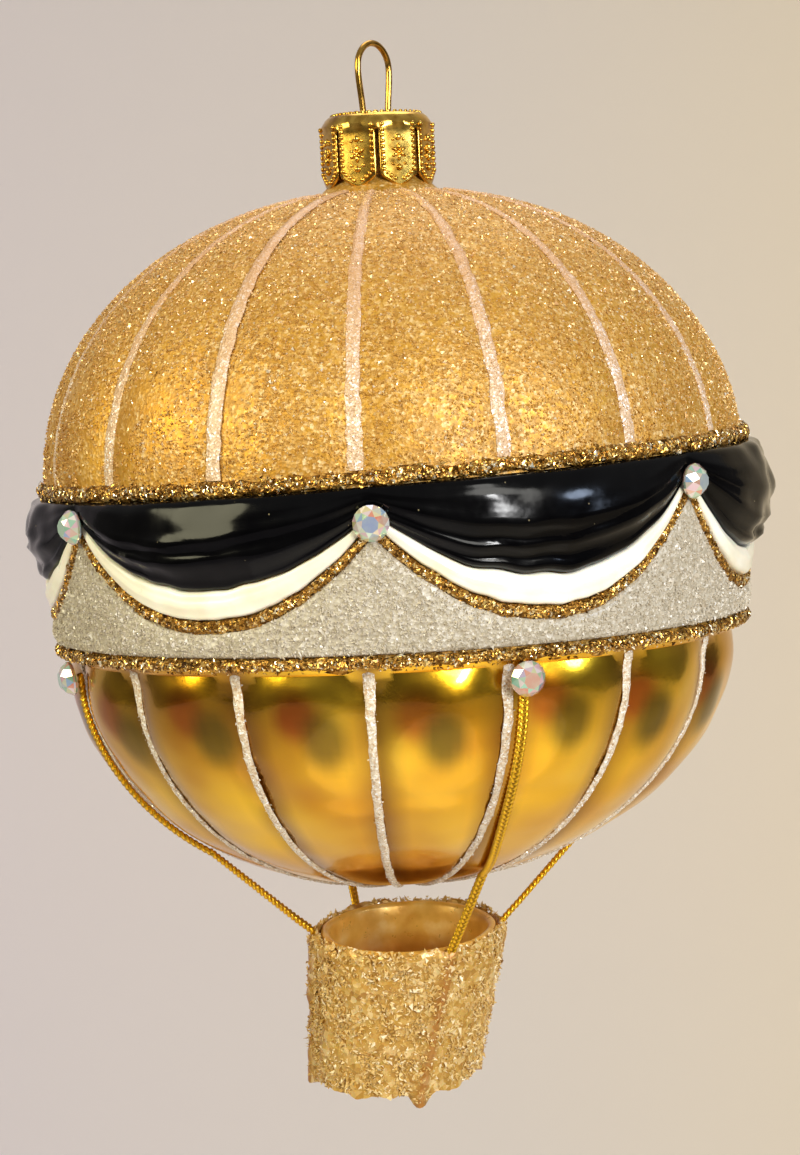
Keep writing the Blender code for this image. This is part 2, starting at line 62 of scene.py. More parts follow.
class Body(Enum):
    """The two CAD bodies that a piece can ride on."""

    HANGER = "hanger"
    BALLOON = "balloon"


# Small helpers


def smooth(value: Array) -> Array:
    """Smoothstep of numbers that are first held between 0 and 1."""
    held = np.clip(value, 0.0, 1.0)
    return held * held * (3.0 - 2.0 * held)


def unit(azimuth: Array) -> Array:
    """Horizontal unit vectors, along the last axis, of one or several azimuths in degrees."""
    angle = np.radians(np.asarray(azimuth, float))
    return np.stack([np.sin(angle), -np.cos(angle), np.zeros_like(angle)], axis=-1)


def wrapped(angle: Array) -> Array:
    """Angles in degrees, turned to lie between -180 and 180."""
    return (angle + 180.0) % 360.0 - 180.0


def rough_noise(points: Array, wavelength: float, seed: int, waves: int = 14) -> Array:
    """Smooth irregular numbers over space, made of crossing waves.

    Args:
        points: places in millimetres.
        wavelength: typical distance between two crests in millimetres.
        seed: picks one fixed set of waves.
        waves: how many waves are added up.

    Returns:
        One number for each place, mostly between -1 and 1.
    """
    maker = np.random.default_rng(seed)
    direction = maker.normal(size=(waves, 3))
    direction /= np.linalg.norm(direction, axis=1, keepdims=True)
    pace = math.tau / (wavelength * maker.uniform(0.7, 1.5, waves))
    phase = maker.uniform(0.0, math.tau, waves)
    angle = points @ (direction * pace[:, None]).T + phase
    return np.sin(angle).sum(axis=-1) / math.sqrt(waves) * 0.9


def srgb(code: str) -> tuple[float, float, float, float]:
    """Linear colour of a hex sRGB code.

    Args:
        code: six hex digits with a leading hash.

    Returns:
        Red, green, blue and an alpha of 1.
    """
    parts = [int(code[i:i + 2], 16) / 255.0 for i in (1, 3, 5)]
    line = [p / 12.92 if p <= 0.04045 else ((p + 0.055) / 1.055) ** 2.4 for p in parts]
    return (line[0], line[1], line[2], 1.0)


def catmull(points: Array, per_span: int) -> Array:
    """Smooth curve through given points.

    Args:
        points: the points, in order.
        per_span: how many steps each stretch between two points gets.

    Returns:
        The points of the finer curve.
    """
    padded = np.vstack([2 * points[0] - points[1], points, 2 * points[-1] - points[-2]])
    share = np.linspace(0.0, 1.0, per_span, endpoint=False)[:, None]
    spans = []
    for a, b, c, d in zip(padded, padded[1:], padded[2:], padded[3:]):
        spans.append(0.5 * (
            2 * b + (c - a) * share + (2 * a - 5 * b + 4 * c - d) * share**2
            + (3 * b - a - 3 * c + d) * share**3))
    return np.vstack([*spans, points[-1]])


# Materials


class NodeSheet:
    """Node tree of one material, with short ways to add the nodes this object needs."""

    def __init__(self, name: str) -> None:
        """Start a material with a Principled shader.

        Args:
            name: name of the real material.
        """
        self.material = bpy.data.materials.new(name)
        self.material.use_nodes = True
        self.tree = self.material.node_tree
        self.shader = self.tree.nodes["Principled BSDF"]

    def add(self, kind: str, inputs: Mapping[Any, Any] | None = None, **settings: Any) -> bpy.types.Node:
        """Add one shader node.

        Args:
            kind: the node's type without its ShaderNode prefix.
            inputs: for a socket's name or number, a value or an output to link.
            settings: the node's own properties.

        Returns:
            The new node.
        """
        node = self.tree.nodes.new("ShaderNode" + kind)
        for name, value in settings.items():
            setattr(node, name, value)
        for socket, value in (inputs or {}).items():
            self.feed(node.inputs[socket], value)
        return node

    def feed(self, socket: bpy.types.NodeSocket, value: Any) -> None:
        """Link an output to a socket, or set the socket's own value.

        Args:
            socket: the input.
            value: an output socket or a plain value.
        """
        if isinstance(value, bpy.types.NodeSocket):
            self.tree.links.new(value, socket)
        else:
            socket.default_value = value

    def paint(self, **sockets: Any) -> None:
        """Fill sockets of the Principled shader; a name's spaces are written as underscores."""
        for name, value in sockets.items():
            self.feed(self.shader.inputs[name.replace("_", " ")], value)

    def place(self) -> bpy.types.NodeSocket:
        """Object coordinates."""
        return self.add("TexCoord").outputs["Object"]

    def attribute(self, name: str) -> bpy.types.NodeSocket:
        """Number that the mesh carries under a name."""
        return self.add("Attribute", attribute_name=name, attribute_type="GEOMETRY").outputs["Fac"]

    def noise(self, size: float, detail: float = 2.0) -> bpy.types.NodeSocket:
        """Cloudy noise; a cloud's size is in millimetres, detail is the number of finer layers."""
        inputs = {"Vector": self.place(), "Scale": 1.0 / (size * MM), "Detail": detail}
        return self.add("TexNoise", inputs).outputs["Fac"]

    def cells(self, size: float) -> bpy.types.Node:
        """Voronoi node of crystalline cells of a size in millimetres."""
        return self.add("TexVoronoi", {"Vector": self.place(), "Scale": 1.0 / (size * MM)})

    def tone(self, cell: bpy.types.Node, channel: int = 0) -> bpy.types.NodeSocket:
        """Own random number of each cell."""
        return self.add("SeparateColor", {0: cell.outputs["Color"]}).outputs[channel]

    def axis(self, number: int) -> bpy.types.NodeSocket:
        """One coordinate of the object's own space: 0 for x, 1 for y, 2 for z."""
        return self.add("SeparateXYZ", {0: self.place()}).outputs[number]

    def ramp(self, factor: bpy.types.NodeSocket, stops: Sequence[tuple[float, str]]) -> bpy.types.NodeSocket:
        """Colours along a number.

        Args:
            factor: the number.
            stops: pairs of a place on the ramp and a hex colour.

        Returns:
            The colour.
        """
        node = self.add("ValToRGB", {"Fac": factor})
        strip = node.color_ramp.elements
        while len(strip) < len(stops):
            strip.new(0.5)
        for element, (spot, code) in zip(strip, stops):
            element.position = spot
            element.color = srgb(code)
        return node.outputs["Color"]

    def fit(
        self, value: bpy.types.NodeSocket, low: float, high: float, start: float, end: float,
    ) -> bpy.types.NodeSocket:
        """Map a number from low..high to start..end, held at its ends."""
        inputs = {"Value": value, "From Min": low, "From Max": high, "To Min": start, "To Max": end}
        return self.add("MapRange", inputs).outputs["Result"]

    def maths(self, operation: str, first: Any, second: Any) -> bpy.types.NodeSocket:
        """Result of one Math node."""
        return self.add("Math", {0: first, 1: second}, operation=operation).outputs[0]

    def blend(self, factor: Any, first: Any, second: Any, how: str = "MIX") -> bpy.types.NodeSocket:
        """Mix of two colours.

        Args:
            factor: share of the second colour.
            first: colour or output.
            second: colour or output.
            how: Blender's blend type.

        Returns:
            The mixed colour.
        """
        node = self.add("Mix", data_type="RGBA", blend_type=how)
        self.feed(node.inputs[0], factor)
        self.feed(node.inputs[6], first)
        self.feed(node.inputs[7], second)
        return node.outputs[2]

    def bump(self, height: Any, depth: float, strength: Any = 1.0, under: Any = None) -> bpy.types.NodeSocket:
        """Small relief of the surface.

        Args:
            height: the number that is felt as height.
            depth: full height in millimetres.
            strength: how much of it is felt.
            under: the normal of a coarser relief that this one lies on.

        Returns:
            The bent normal.
        """
        inputs = {"Height": height, "Distance": depth * MM, "Strength": strength}
        if under is not None:
            inputs["Normal"] = under
        return self.add("Bump", inputs).outputs["Normal"]


class Finish(ABC):
    """A finish that any number of pieces can wear."""

    label: str

    @abstractmethod
    def dress(self, sheet: NodeSheet) -> None:
        """Add the finish's nodes to its sheet."""

    def material(self) -> bpy.types.Material:
        """The finish's material, made once.

        Returns:
            The Blender material.
        """
        found = bpy.data.materials.get(self.label)
        if found is None:
            sheet = NodeSheet(self.label)
            self.dress(sheet)
            found = sheet.material
        return found


@dataclass(frozen=True)
class SatinGoldLacquer(Finish):
    """Gold lacquer over silvered glass, satin, with painted shade in the seams of the gores and painted
    reflections in the gores.
    """

    label: ClassVar[str] = "satin_gold_lacquer"
    deep: str = "#d49514"
    bright: str = "#ffcf32"
    seam_shade: str = "#7a4a0c"
    amber_reflection: str = "#b4500a"
    olive_reflection: str = "#5e5208"

    def dress(self, sheet: NodeSheet) -> None:
        """Metal whose colour drifts over the hand blown gores, with painted seam shade and painted amber and
        olive reflections.

        Args:
            sheet: the material's nodes.
        """
        cloud = sheet.noise(16.0, 2.0)
        gold = sheet.ramp(cloud, ((0.3, self.deep), (0.7, self.bright)))
        # Painted shade: the gold darkens towards each seam of the gores.
        gold = sheet.blend(sheet.fit(sheet.attribute("seam"), 0.3, 1.0, 0.0, 0.8), gold, srgb(self.seam_shade))
        # Painted reflections: amber and olive patches that stand for the room mirrored in each gore.
        gold = sheet.blend(sheet.attribute("amber_reflection"), gold, srgb(self.amber_reflection))
        gold = sheet.blend(sheet.attribute("olive_reflection"), gold, srgb(self.olive_reflection))
        rough = sheet.fit(sheet.noise(5.0, 3.0), 0.3, 0.7, 0.17, 0.26)
        relief = sheet.bump(sheet.noise(4.0, 3.0), 0.12, 0.5)
        relief = sheet.bump(sheet.noise(0.35, 2.0), 0.01, 0.6, relief)
        sheet.paint(
            Base_Color=gold, Metallic=1.0, Roughness=rough, Normal=relief,
            Coat_Weight=0.35, Coat_Roughness=0.07, Coat_IOR=1.6)


@dataclass(frozen=True)
class SugaredGold(Finish):
    """Gold lacquer under a crust of fine crushed glass, thinner where the gold shines through."""

    label: ClassVar[str] = "sugared_gold_glass"
    grain: float = 0.4

    def dress(self, sheet: NodeSheet) -> None:
        """Cells of crushed glass over metal.

        Args:
            sheet: the material's nodes.
        """
        cell = sheet.cells(self.grain)
        tone = sheet.tone(cell)
        sugar = sheet.ramp(tone, (
            (0.0, "#a3762d"), (0.3, "#b88838"), (0.6, "#c49849"), (0.85, "#d1ac69"), (1.0, "#e6cc97")))
        gold = sheet.ramp(sheet.noise(9.0, 3.0), ((0.3, "#b97e12"), (0.7, "#e2aa2c")))
        bare = sheet.fit(sheet.noise(7.0, 4.0), 0.40, 0.62, 0.0, 0.7)
        cover = sheet.maths("SUBTRACT", 1.0, sheet.maths("MULTIPLY", bare, sheet.attribute("bare")))
        cover = sheet.maths("MULTIPLY", cover, sheet.fit(sheet.noise(0.9, 2.0), 0.35, 0.6, 0.45, 1.0))
        rough = sheet.fit(cover, 0.2, 1.0, 0.46, 0.62)
        relief = sheet.bump(cell.outputs["Distance"], 0.13, sheet.fit(cover, 0.2, 0.9, 0.12, 0.8))
        relief = sheet.bump(sheet.noise(0.25, 2.0), 0.04, 0.6, relief)
        sheet.paint(
            Base_Color=sheet.blend(cover, gold, sugar), Metallic=sheet.fit(cover, 0.1, 0.9, 0.85, 0.35),
            Roughness=rough, Normal=relief, Coat_Weight=0.2, Coat_Roughness=0.4)


@dataclass(frozen=True)
class Grains(Finish):
    """Loose grains of crushed glass or metal foil, each of its own tone."""

    label: str = "grains"
    stops: tuple[tuple[float, str], ...] = ((0.0, "#808080"), (1.0, "#ffffff"))
    metal: tuple[float, float] = (0.0, 0.0)
    roughness: float = 0.25
    coat: float = 0.5
    high: str = ""

    def dress(self, sheet: NodeSheet) -> None:
        """One colour a grain, picked by its tone, with a little cloud inside.

        Args:
            sheet: the material's nodes.
        """
        tone = sheet.attribute("tone")
        colour = sheet.ramp(tone, self.stops)
        if self.high:
            level = sheet.axis(2)
            share = sheet.fit(level, -0.046, -0.022, 0.0, 0.55)
            colour = sheet.blend(share, colour, srgb(self.high))
        cloud = sheet.fit(sheet.noise(0.4, 2.0), 0.3, 0.7, 0.0, 0.2)
        colour = sheet.blend(cloud, colour, srgb("#ffffff"), "SOFT_LIGHT")
        sheet.paint(
            Base_Color=colour, Metallic=sheet.fit(tone, 0.6, 0.95, *self.metal),
            Roughness=self.roughness, Coat_Weight=self.coat, Coat_Roughness=0.08)


@dataclass(frozen=True)
class GlitterBed(Finish):
    """Glue full of fine bronze and gold glitter, the bed of the coarser flakes."""

    label: ClassVar[str] = "bronze_glitter_glue"

    def dress(self, sheet: NodeSheet) -> None:
        """Small metal cells with tilted faces.

        Args:
            sheet: the material's nodes.
        """
        cell = sheet.cells(0.42)
        tone = sheet.tone(cell, 1)
        colour = sheet.ramp(tone, (
            (0.0, "#4f320c"), (0.35, "#8a5f20"), (0.65, "#b8873a"), (0.88, "#dcb05c"), (1.0, "#ffe6a8")))
        relief = sheet.bump(cell.outputs["Distance"], 0.3, 0.9)
        rough = sheet.fit(sheet.noise(0.6, 2.0), 0.3, 0.7, 0.28, 0.5)
        sheet.paint(Base_Color=colour, Metallic=0.85, Roughness=rough, Normal=relief)


@dataclass(frozen=True)
class BlackEnamel(Finish):
    """Thick glossy black enamel, with a few grains of dust in it."""

    label: ClassVar[str] = "glossy_black_enamel"

    def dress(self, sheet: NodeSheet) -> None:
        """Deep black under a clear gloss with faint brush ripples.

        Args:
            sheet: the material's nodes.
        """
        colour = sheet.ramp(sheet.noise(5.0, 3.0), ((0.3, "#010102"), (0.7, "#050506")))
        speck = sheet.fit(sheet.cells(2.6).outputs["Distance"], 0.03, 0.05, 0.35, 0.0)
        colour = sheet.blend(speck, colour, srgb("#b9a981"))
        rough = sheet.fit(sheet.noise(3.0, 3.0), 0.35, 0.7, 0.09, 0.19)
        relief = sheet.bump(sheet.noise(2.6, 2.0), 0.07, 0.45)
        sheet.paint(
            Base_Color=colour, Roughness=rough, Normal=relief, IOR=1.45, Specular_IOR_Level=0.2)


@dataclass(frozen=True)
class WhiteEnamel(Finish):
    """Cream white enamel with a satin face."""

    label: ClassVar[str] = "satin_white_enamel"

    def dress(self, sheet: NodeSheet) -> None:
        """Warm white that drifts a little, with brush ripples.

        Args:
            sheet: the material's nodes.
        """
        colour = sheet.ramp(sheet.noise(6.0, 3.0), ((0.3, "#e9e2c8"), (0.7, "#fbf7e6")))
        rough = sheet.fit(sheet.noise(2.5, 3.0), 0.3, 0.7, 0.26, 0.4)
        relief = sheet.bump(sheet.noise(2.2, 3.0), 0.07, 0.5)
        sheet.paint(
            Base_Color=colour, Roughness=rough, Normal=relief, IOR=1.5,
            Coat_Weight=0.35, Coat_Roughness=0.15, Subsurface_Weight=0.08, Subsurface_Scale=0.0008)


@dataclass(frozen=True)
class FrostedWhite(Finish):
    """White glue under crushed clear glass, like coarse sugar."""

    label: ClassVar[str] = "frosted_white_glass"

    def dress(self, sheet: NodeSheet) -> None:
        """Milky grains with small grey gaps.

        Args:
            sheet: the material's nodes.
        """
        cell = sheet.cells(0.55)
        tone = sheet.tone(cell, 2)
        colour = sheet.ramp(tone, (
            (0.0, "#a79b83"), (0.4, "#b4a993"), (0.75, "#c0b6a2"), (1.0, "#d4ccbc")))
        cloud = sheet.fit(sheet.noise(5.0, 3.0), 0.3, 0.7, 0.0, 0.4)
        colour = sheet.blend(cloud, colour, srgb("#b3a892"))
        relief = sheet.bump(cell.outputs["Distance"], 0.3, 0.8)
        relief = sheet.bump(sheet.noise(1.8, 3.0), 0.25, 0.6, relief)
        rough = sheet.fit(tone, 0.0, 1.0, 0.55, 0.3)
        sheet.paint(Base_Color=colour, Roughness=rough, Normal=relief, Coat_Weight=0.25, Coat_Roughness=0.2)


@dataclass(frozen=True)
class StripeGlitter(Finish):
    """White glitter glue in the seams between gores."""

    label: str = "white_glitter_glue"
    tint: str = "#f1d3a9"
    pale: str = "#fff1dc"
    high: str = ""

    def dress(self, sheet: NodeSheet) -> None:
        """Fine pale sparkle.

        Args:
            sheet: the material's nodes.
        """
        cell = sheet.cells(0.3)
        tone = sheet.tone(cell)
        colour = sheet.ramp(tone, ((0.0, "#c9a67c"), (0.35, self.tint), (0.8, self.pale), (1.0, "#ffffff")))
        if self.high:
            level = sheet.axis(2)
            colour = sheet.blend(sheet.fit(level, -0.052, -0.03, 0.0, 0.8), colour, srgb(self.high))
        relief = sheet.bump(cell.outputs["Distance"], 0.16, 0.8)
        rough = sheet.fit(sheet.noise(0.5, 2.0), 0.3, 0.7, 0.3, 0.55)
        sheet.paint(Base_Color=colour, Metallic=0.15, Roughness=rough, Normal=relief, Coat_Weight=0.3)


@dataclass(frozen=True)
class FoiledCrystal(Finish):
    """Cut glass over foil, with the pastel sheen of a vapour coat."""

    label: ClassVar[str] = "foiled_crystal"

    def dress(self, sheet: NodeSheet) -> None:
        """Each facet has its own pastel, carried by the mesh.

        Args:
            sheet: the material's nodes.
        """
        facet = sheet.attribute("tone")
        colour = sheet.ramp(facet, (
            (0.0, "#d8d3c4"), (0.14, "#e0866a"), (0.28, "#cfe6cf"), (0.42, "#7fbfa4"),
            (0.56, "#ead79c"), (0.7, "#8fb4dc"), (0.82, "#e3b3c4"), (1.0, "#f6f4ec")))
        cloud = sheet.fit(sheet.noise(0.9, 3.0), 0.4, 0.65, 0.0, 0.25)
        colour = sheet.blend(cloud, colour, srgb("#d5e2c8"))
        rough = sheet.fit(sheet.noise(0.5, 2.0), 0.3, 0.7, 0.04, 0.12)
        sheet.paint(
            Base_Color=colour, Metallic=0.45, Roughness=rough, IOR=1.55,
            Coat_Weight=1.0, Coat_Roughness=0.02, Coat_IOR=1.6)


@dataclass(frozen=True)
class StampedBrass(Finish):
    """Bright stamped brass with dull hollows."""

    label: str = "stamped_brass"
    light: str = "#ecc25c"
    dark: str = "#ab7a26"

    def dress(self, sheet: NodeSheet) -> None:
        """Metal, duller and darker in patches.

        Args:
            sheet: the material's nodes.
        """
        patch = sheet.noise(1.8, 4.0)
        colour = sheet.ramp(patch, ((0.3, self.dark), (0.62, self.light)))
        rough = sheet.fit(sheet.noise(1.1, 3.0), 0.3, 0.7, 0.16, 0.28)
        relief = sheet.bump(sheet.noise(0.9, 1.0), 0.01, 0.4)
        sheet.paint(Base_Color=colour, Metallic=1.0, Roughness=rough, Normal=relief)


@dataclass(frozen=True)
class GoldLame(Finish):
    """Metallised thread of the braided cords."""

    label: ClassVar[str] = "gold_lame_thread"

    def dress(self, sheet: NodeSheet) -> None:
        """Fine fibres that run along each strand, with painted shade between the strands.

        Args:
            sheet: the material's nodes.
        """
        along = sheet.add("TexCoord").outputs["UV"]
        turned = sheet.add("Mapping", {"Vector": along, "Scale": (600.0, 12.0, 1.0)}).outputs["Vector"]
        fibre = sheet.add("TexNoise", {"Vector": turned, "Scale": 1.0, "Detail": 2.0}).outputs["Fac"]
        colour = sheet.ramp(fibre, ((0.25, "#c08a12"), (0.5, "#ecb826"), (0.75, "#ffdc5a")))
        # Painted shade: darker near the cord's middle line, between the strands.
        gap = sheet.fit(sheet.attribute("deep"), 0.1, 0.75, 0.85, 0.0)
        colour = sheet.blend(gap, colour, srgb("#5e3d06"))
        relief = sheet.bump(fibre, 0.04, 0.6)
        rough = sheet.fit(sheet.noise(0.6, 2.0), 0.3, 0.7, 0.28, 0.42)
        sheet.paint(Base_Color=colour, Metallic=0.9, Roughness=rough, Normal=relief)


@dataclass(frozen=True)
class BasketLacquer(Finish):
    """Honey brown lacquer inside the blown basket."""

    label: ClassVar[str] = "honey_basket_lacquer"

    def dress(self, sheet: NodeSheet) -> None:
        """Half metallic brown gold, worn paler in patches, with painted shade deeper in the cup.

        Args:
            sheet: the material's nodes.
        """
        colour = sheet.ramp(sheet.noise(4.0, 4.0), ((0.28, "#d09432"), (0.55, "#e8b450"), (0.8, "#f8d78a")))
        # Painted shade: browner deeper inside the cup.
        colour = sheet.blend(sheet.fit(sheet.attribute("deep"), 0.2, 1.0, 0.0, 0.8), colour, srgb("#ad6412"))
        rough = sheet.fit(sheet.noise(1.4, 3.0), 0.3, 0.7, 0.26, 0.42)
        relief = sheet.bump(sheet.noise(1.5, 3.0), 0.09, 0.6)
        sheet.paint(Base_Color=colour, Metallic=0.3, Roughness=rough, Normal=relief, Coat_Weight=0.15)


@dataclass(frozen=True)
class BasketCrust(Finish):
    """Gold glue under coarse crushed glass around the basket."""

    label: ClassVar[str] = "crushed_glass_crust"

    def dress(self, sheet: NodeSheet) -> None:
        """Uneven cells of glass between pools of gold.

        Args:
            sheet: the material's nodes.
        """
        cell = sheet.cells(0.8)
        tone = sheet.tone(cell)
        colour = sheet.ramp(tone, (
            (0.0, "#a67829"), (0.35, "#bf933f"), (0.7, "#d3ac5c"), (1.0, "#e8cd90")))
        pool = sheet.fit(sheet.noise(3.5, 3.0), 0.45, 0.65, 0.0, 0.5)
        colour = sheet.blend(pool, colour, srgb("#c2923a"))
        over_cord = sheet.fit(sheet.attribute("ridge"), 0.25, 0.9, 0.0, 0.75)
        colour = sheet.blend(over_cord, colour, srgb("#a2661f"))
        relief = sheet.bump(cell.outputs["Distance"], 0.2, 0.7)
        rough = sheet.fit(tone, 0.0, 1.0, 0.5, 0.3)
        sheet.paint(
            Base_Color=colour, Metallic=0.25, Roughness=rough, Normal=relief, Coat_Weight=0.3,
            Subsurface_Weight=0.15, Subsurface_Scale=0.0006)


@dataclass(frozen=True)
class PalePaper(Finish):
    """Matt paper of the studio sweep."""

    label: ClassVar[str] = "studio_paper"

    def dress(self, sheet: NodeSheet) -> None:
        """Pale grey lilac on the left that warms towards the right.

        Args:
            sheet: the material's nodes.
        """
        side = sheet.axis(0)
        cloud = sheet.fit(sheet.noise(300.0, 1.0), 0.3, 0.7, -0.02, 0.02)
        share = sheet.maths("ADD", sheet.fit(side, -0.38, 0.38, 0.0, 1.0), cloud)
        colour = sheet.ramp(share, ((0.0, "#e8e0e6"), (0.55, "#eee5de"), (1.0, "#fcedd2")))
        relief = sheet.bump(sheet.noise(2.0, 2.0), 0.02, 0.3)
        sheet.paint(
            Base_Color=colour, Roughness=0.9, Normal=relief,
            Emission_Color=colour, Emission_Strength=0.09)


DOME_SUGAR = Grains("dome_sugar", (
    (0.0, "#a3722b"), (0.2, "#b98637"), (0.5, "#c79747"),
    (0.78, "#d3ab64"), (0.93, "#e6ca91"), (1.0, "#fff5dc")),
    (0.15, 0.6), 0.32, 0.2, "#bf9462")
FROST_SUGAR = Grains("frost_sugar", (
    (0.0, "#a99c84"), (0.2, "#b5a891"), (0.5, "#beb29d"), (0.8, "#c8beab"), (1.0, "#e6dfd2")),
    (0.0, 0.1), 0.36, 0.25)
GOLD_FLAKES = Grains("gold_glitter_flakes", (
    (0.0, "#5c3a0e"), (0.22, "#8f6220"), (0.5, "#bd8c38"),
    (0.72, "#deb056"), (0.86, "#f8d88a"), (1.0, "#fffbe6")),
    (0.9, 0.75), 0.17, 0.3)
STRIPE_SUGAR = Grains("stripe_sugar", (
    (0.0, "#b48e64"), (0.4, "#caa67e"), (0.8, "#dabd9a"), (1.0, "#fff1de")),
    (0.05, 0.3), 0.34, 0.2, "#c29261")
LOW_STRIPE_SUGAR = Grains("low_stripe_sugar", (
    (0.0, "#b9a689"), (0.4, "#dccdb4"), (0.8, "#efe5d2"), (1.0, "#ffffff")),
    (0.05, 0.4), 0.26, 0.35)
BASKET_SHARDS = Grains("basket_glass_shards", (
    (0.0, "#b48a40"), (0.25, "#c29a50"), (0.55, "#cfab64"), (0.8, "#dbbf84"), (1.0, "#f1e0b8")),
    (0.0, 0.05), 0.5, 0.1)


# Form of the glass


@dataclass(frozen=True)
class GlassForm:
    """Shape of the blown glass and of the lines drawn on it."""

    neck_radius: float = 6.0
    neck_top_z: float = -10.5
    wall: float = 1.0
    dome_radius: float = 49.1
    dome_top_z: float = -20.3
    equator_z: float = -57.9
    rise_power: float = 1.9
    round_power: float = 2.22
    bowl_radius: float = 47.8
    bowl_top_z: float = -82.0
    bowl_height: float = 35.8
    bowl_drift: float = -1.5
    gores: int = 16
    first_seam: float = -5.8
    dome_lobe: float = 1.1
    bowl_lobe: float = 1.6
    pillow: float = 1.5
    pillow_reach: float = 2.8
    upper_line_z: float = -57.9
    rise_right: float = 1.75
    rise_back: float = 0.45
    lower_line_z: float = -82.0
    line_height: float = 2.6
    line_thick: float = 0.8
    junctions: tuple[float, ...] = (-58.3, -3.7, 50.2, 100.5, 150.8, 201.1, 251.4)
    junction_heights: tuple[float, ...] = (-63.8, -64.0, -61.7, -61.6, -62.2, -63.0, -63.9)

    @property
    def tip_z(self) -> float:
        """Height of the lowest point of the bowl."""
        return self.bowl_top_z - self.bowl_height

    def ridge(self, z: Array) -> Array:
        """Outer radius along the middle of a gore.

        Args:
            z: heights in millimetres.

        Returns:
            Radii in millimetres.
        """
        z = np.asarray(z, float)
        rise = np.clip((z - self.equator_z) / (self.dome_top_z - self.equator_z), 0.0, 1.0)
        dome = self.dome_radius * (1.0 - rise**self.rise_power) ** (1.0 / self.round_power)
        dome = np.maximum(dome, self.neck_radius)
        share = smooth((self.equator_z - z) / (self.equator_z - self.bowl_top_z))
        waist = self.dome_radius + (self.bowl_radius - self.dome_radius) * share
        drop = np.clip((self.bowl_top_z - z) / self.bowl_height, 0.0, 1.0)
        bowl = self.bowl_radius * np.sqrt(1.0 - drop * drop)
        return np.where(z >= self.equator_z, dome, np.where(z >= self.bowl_top_z, waist, bowl))

    def seam_share(self, azimuth: Array) -> Array:
        """How near an azimuth is to a seam: 0 on a ridge, 1 on a seam."""
        share = ((np.asarray(azimuth, float) - self.first_seam) / (360.0 / self.gores)) % 1.0
        return 1.0 - np.sin(math.pi * share)

    def lobe(self, azimuth: Array, z: Array) -> Array:
        """How far a seam lies under the ridges. The dome's gores end under the upper glitter line.

        Args:
            azimuth: degrees from the front.
            z: heights in millimetres.

        Returns:
            Depths in millimetres.
        """
        z = np.asarray(z, float)
        radius = self.ridge(z)
        fade = smooth((z - self.upper_line(azimuth)) / self.line_height + 0.5)
        dome = self.dome_lobe * (radius - self.neck_radius) / self.dome_radius * fade
        bowl = self.bowl_lobe * smooth((self.lower_line_z - z) / 4.0) * radius / self.bowl_radius
        return np.where(z <= self.lower_line_z, bowl, dome)

    def radius(self, azimuth: Array, z: Array) -> Array:
        """Outer radius of the puffed gores, which the lower glitter line pinches.

        Args:
            azimuth: degrees from the front.
            z: heights in millimetres.

        Returns:
            Radii in millimetres.
        """
        z = np.asarray(z, float)
        power = np.where(z <= self.lower_line_z, 1.2, 1.5)
        below = self.lower_line_z - 0.6 - z
        pinch = np.where(below > 0.0, self.pillow, 0.0) * np.exp(-np.maximum(below, 0.0) / self.pillow_reach)
        return self.ridge(z) - self.lobe(azimuth, z) * self.seam_share(azimuth) ** power - pinch

    def point(self, azimuth: Array, z: Array, lift: Any = 0.0) -> Array:
        """Place above the glass, measured radially.

        Args:
            azimuth: degrees from the front.
            z: heights in millimetres.
            lift: distance above the glass in millimetres.

        Returns:
            Places in millimetres.
        """
        azimuth, z, lift = np.broadcast_arrays(np.asarray(azimuth, float), np.asarray(z, float), lift)
        spot = unit(azimuth) * (self.radius(azimuth, z) + lift)[..., None]
        drop = np.maximum((self.bowl_top_z - z) / self.bowl_height, 0.0)
        spot[..., 0] += self.bowl_drift * drop * drop
        spot[..., 2] = z
        return spot

    def normal(self, azimuth: Array, z: Array) -> Array:
        """Outward direction of the glass, gores left out.

        Args:
            azimuth: degrees from the front.
            z: heights in millimetres.

        Returns:
            Unit vectors.
        """
        z = np.asarray(z, float)
        slope = (self.ridge(z + 0.4) - self.ridge(z - 0.4)) / 0.8
        out = unit(azimuth)
        out[..., 2] -= slope
        return out / np.linalg.norm(out, axis=-1, keepdims=True)

    def swag(self, azimuth: Array) -> tuple[Array, Array]:
        """Which swag hangs at an azimuth.

        Args:
            azimuth: degrees from the front.

        Returns:
            Numbers of swags, and the shares of their widths that lie before the azimuths.
        """
        ends = np.array([*self.junctions, self.junctions[0] + 360.0])
        turned = (np.asarray(azimuth, float) - ends[0]) % 360.0 + ends[0]
        number = np.clip(np.searchsorted(ends, turned, side="right") - 1, 0, len(self.junctions) - 1)
        return number, (turned - ends[number]) / (ends[number + 1] - ends[number])

    def upper_line(self, azimuth: Array) -> Array:
        """Height of the middle of the upper glitter line, which is a little tilted."""
        side = unit(azimuth)
        return self.upper_line_z + self.rise_right * side[..., 0] + self.rise_back * side[..., 1]

    def hang(self, azimuth: Array, low_z: float, offset: float) -> Array:
        """Height of a line that hangs from junction to junction.

        Args:
            azimuth: degrees from the front.
            low_z: height of its lowest point.
            offset: how far above the junctions it starts.

        Returns:
            Heights in millimetres.
        """
        number, share = self.swag(azimuth)
        heights = np.array(self.junction_heights)
        start = heights[number]
        end = heights[(number + 1) % len(heights)]
        top = start + (end - start) * share + offset
        return top + (low_z - top) * (1.0 - np.abs(2.0 * share - 1.0) ** 2.2)


FORM = GlassForm()


# Meshes


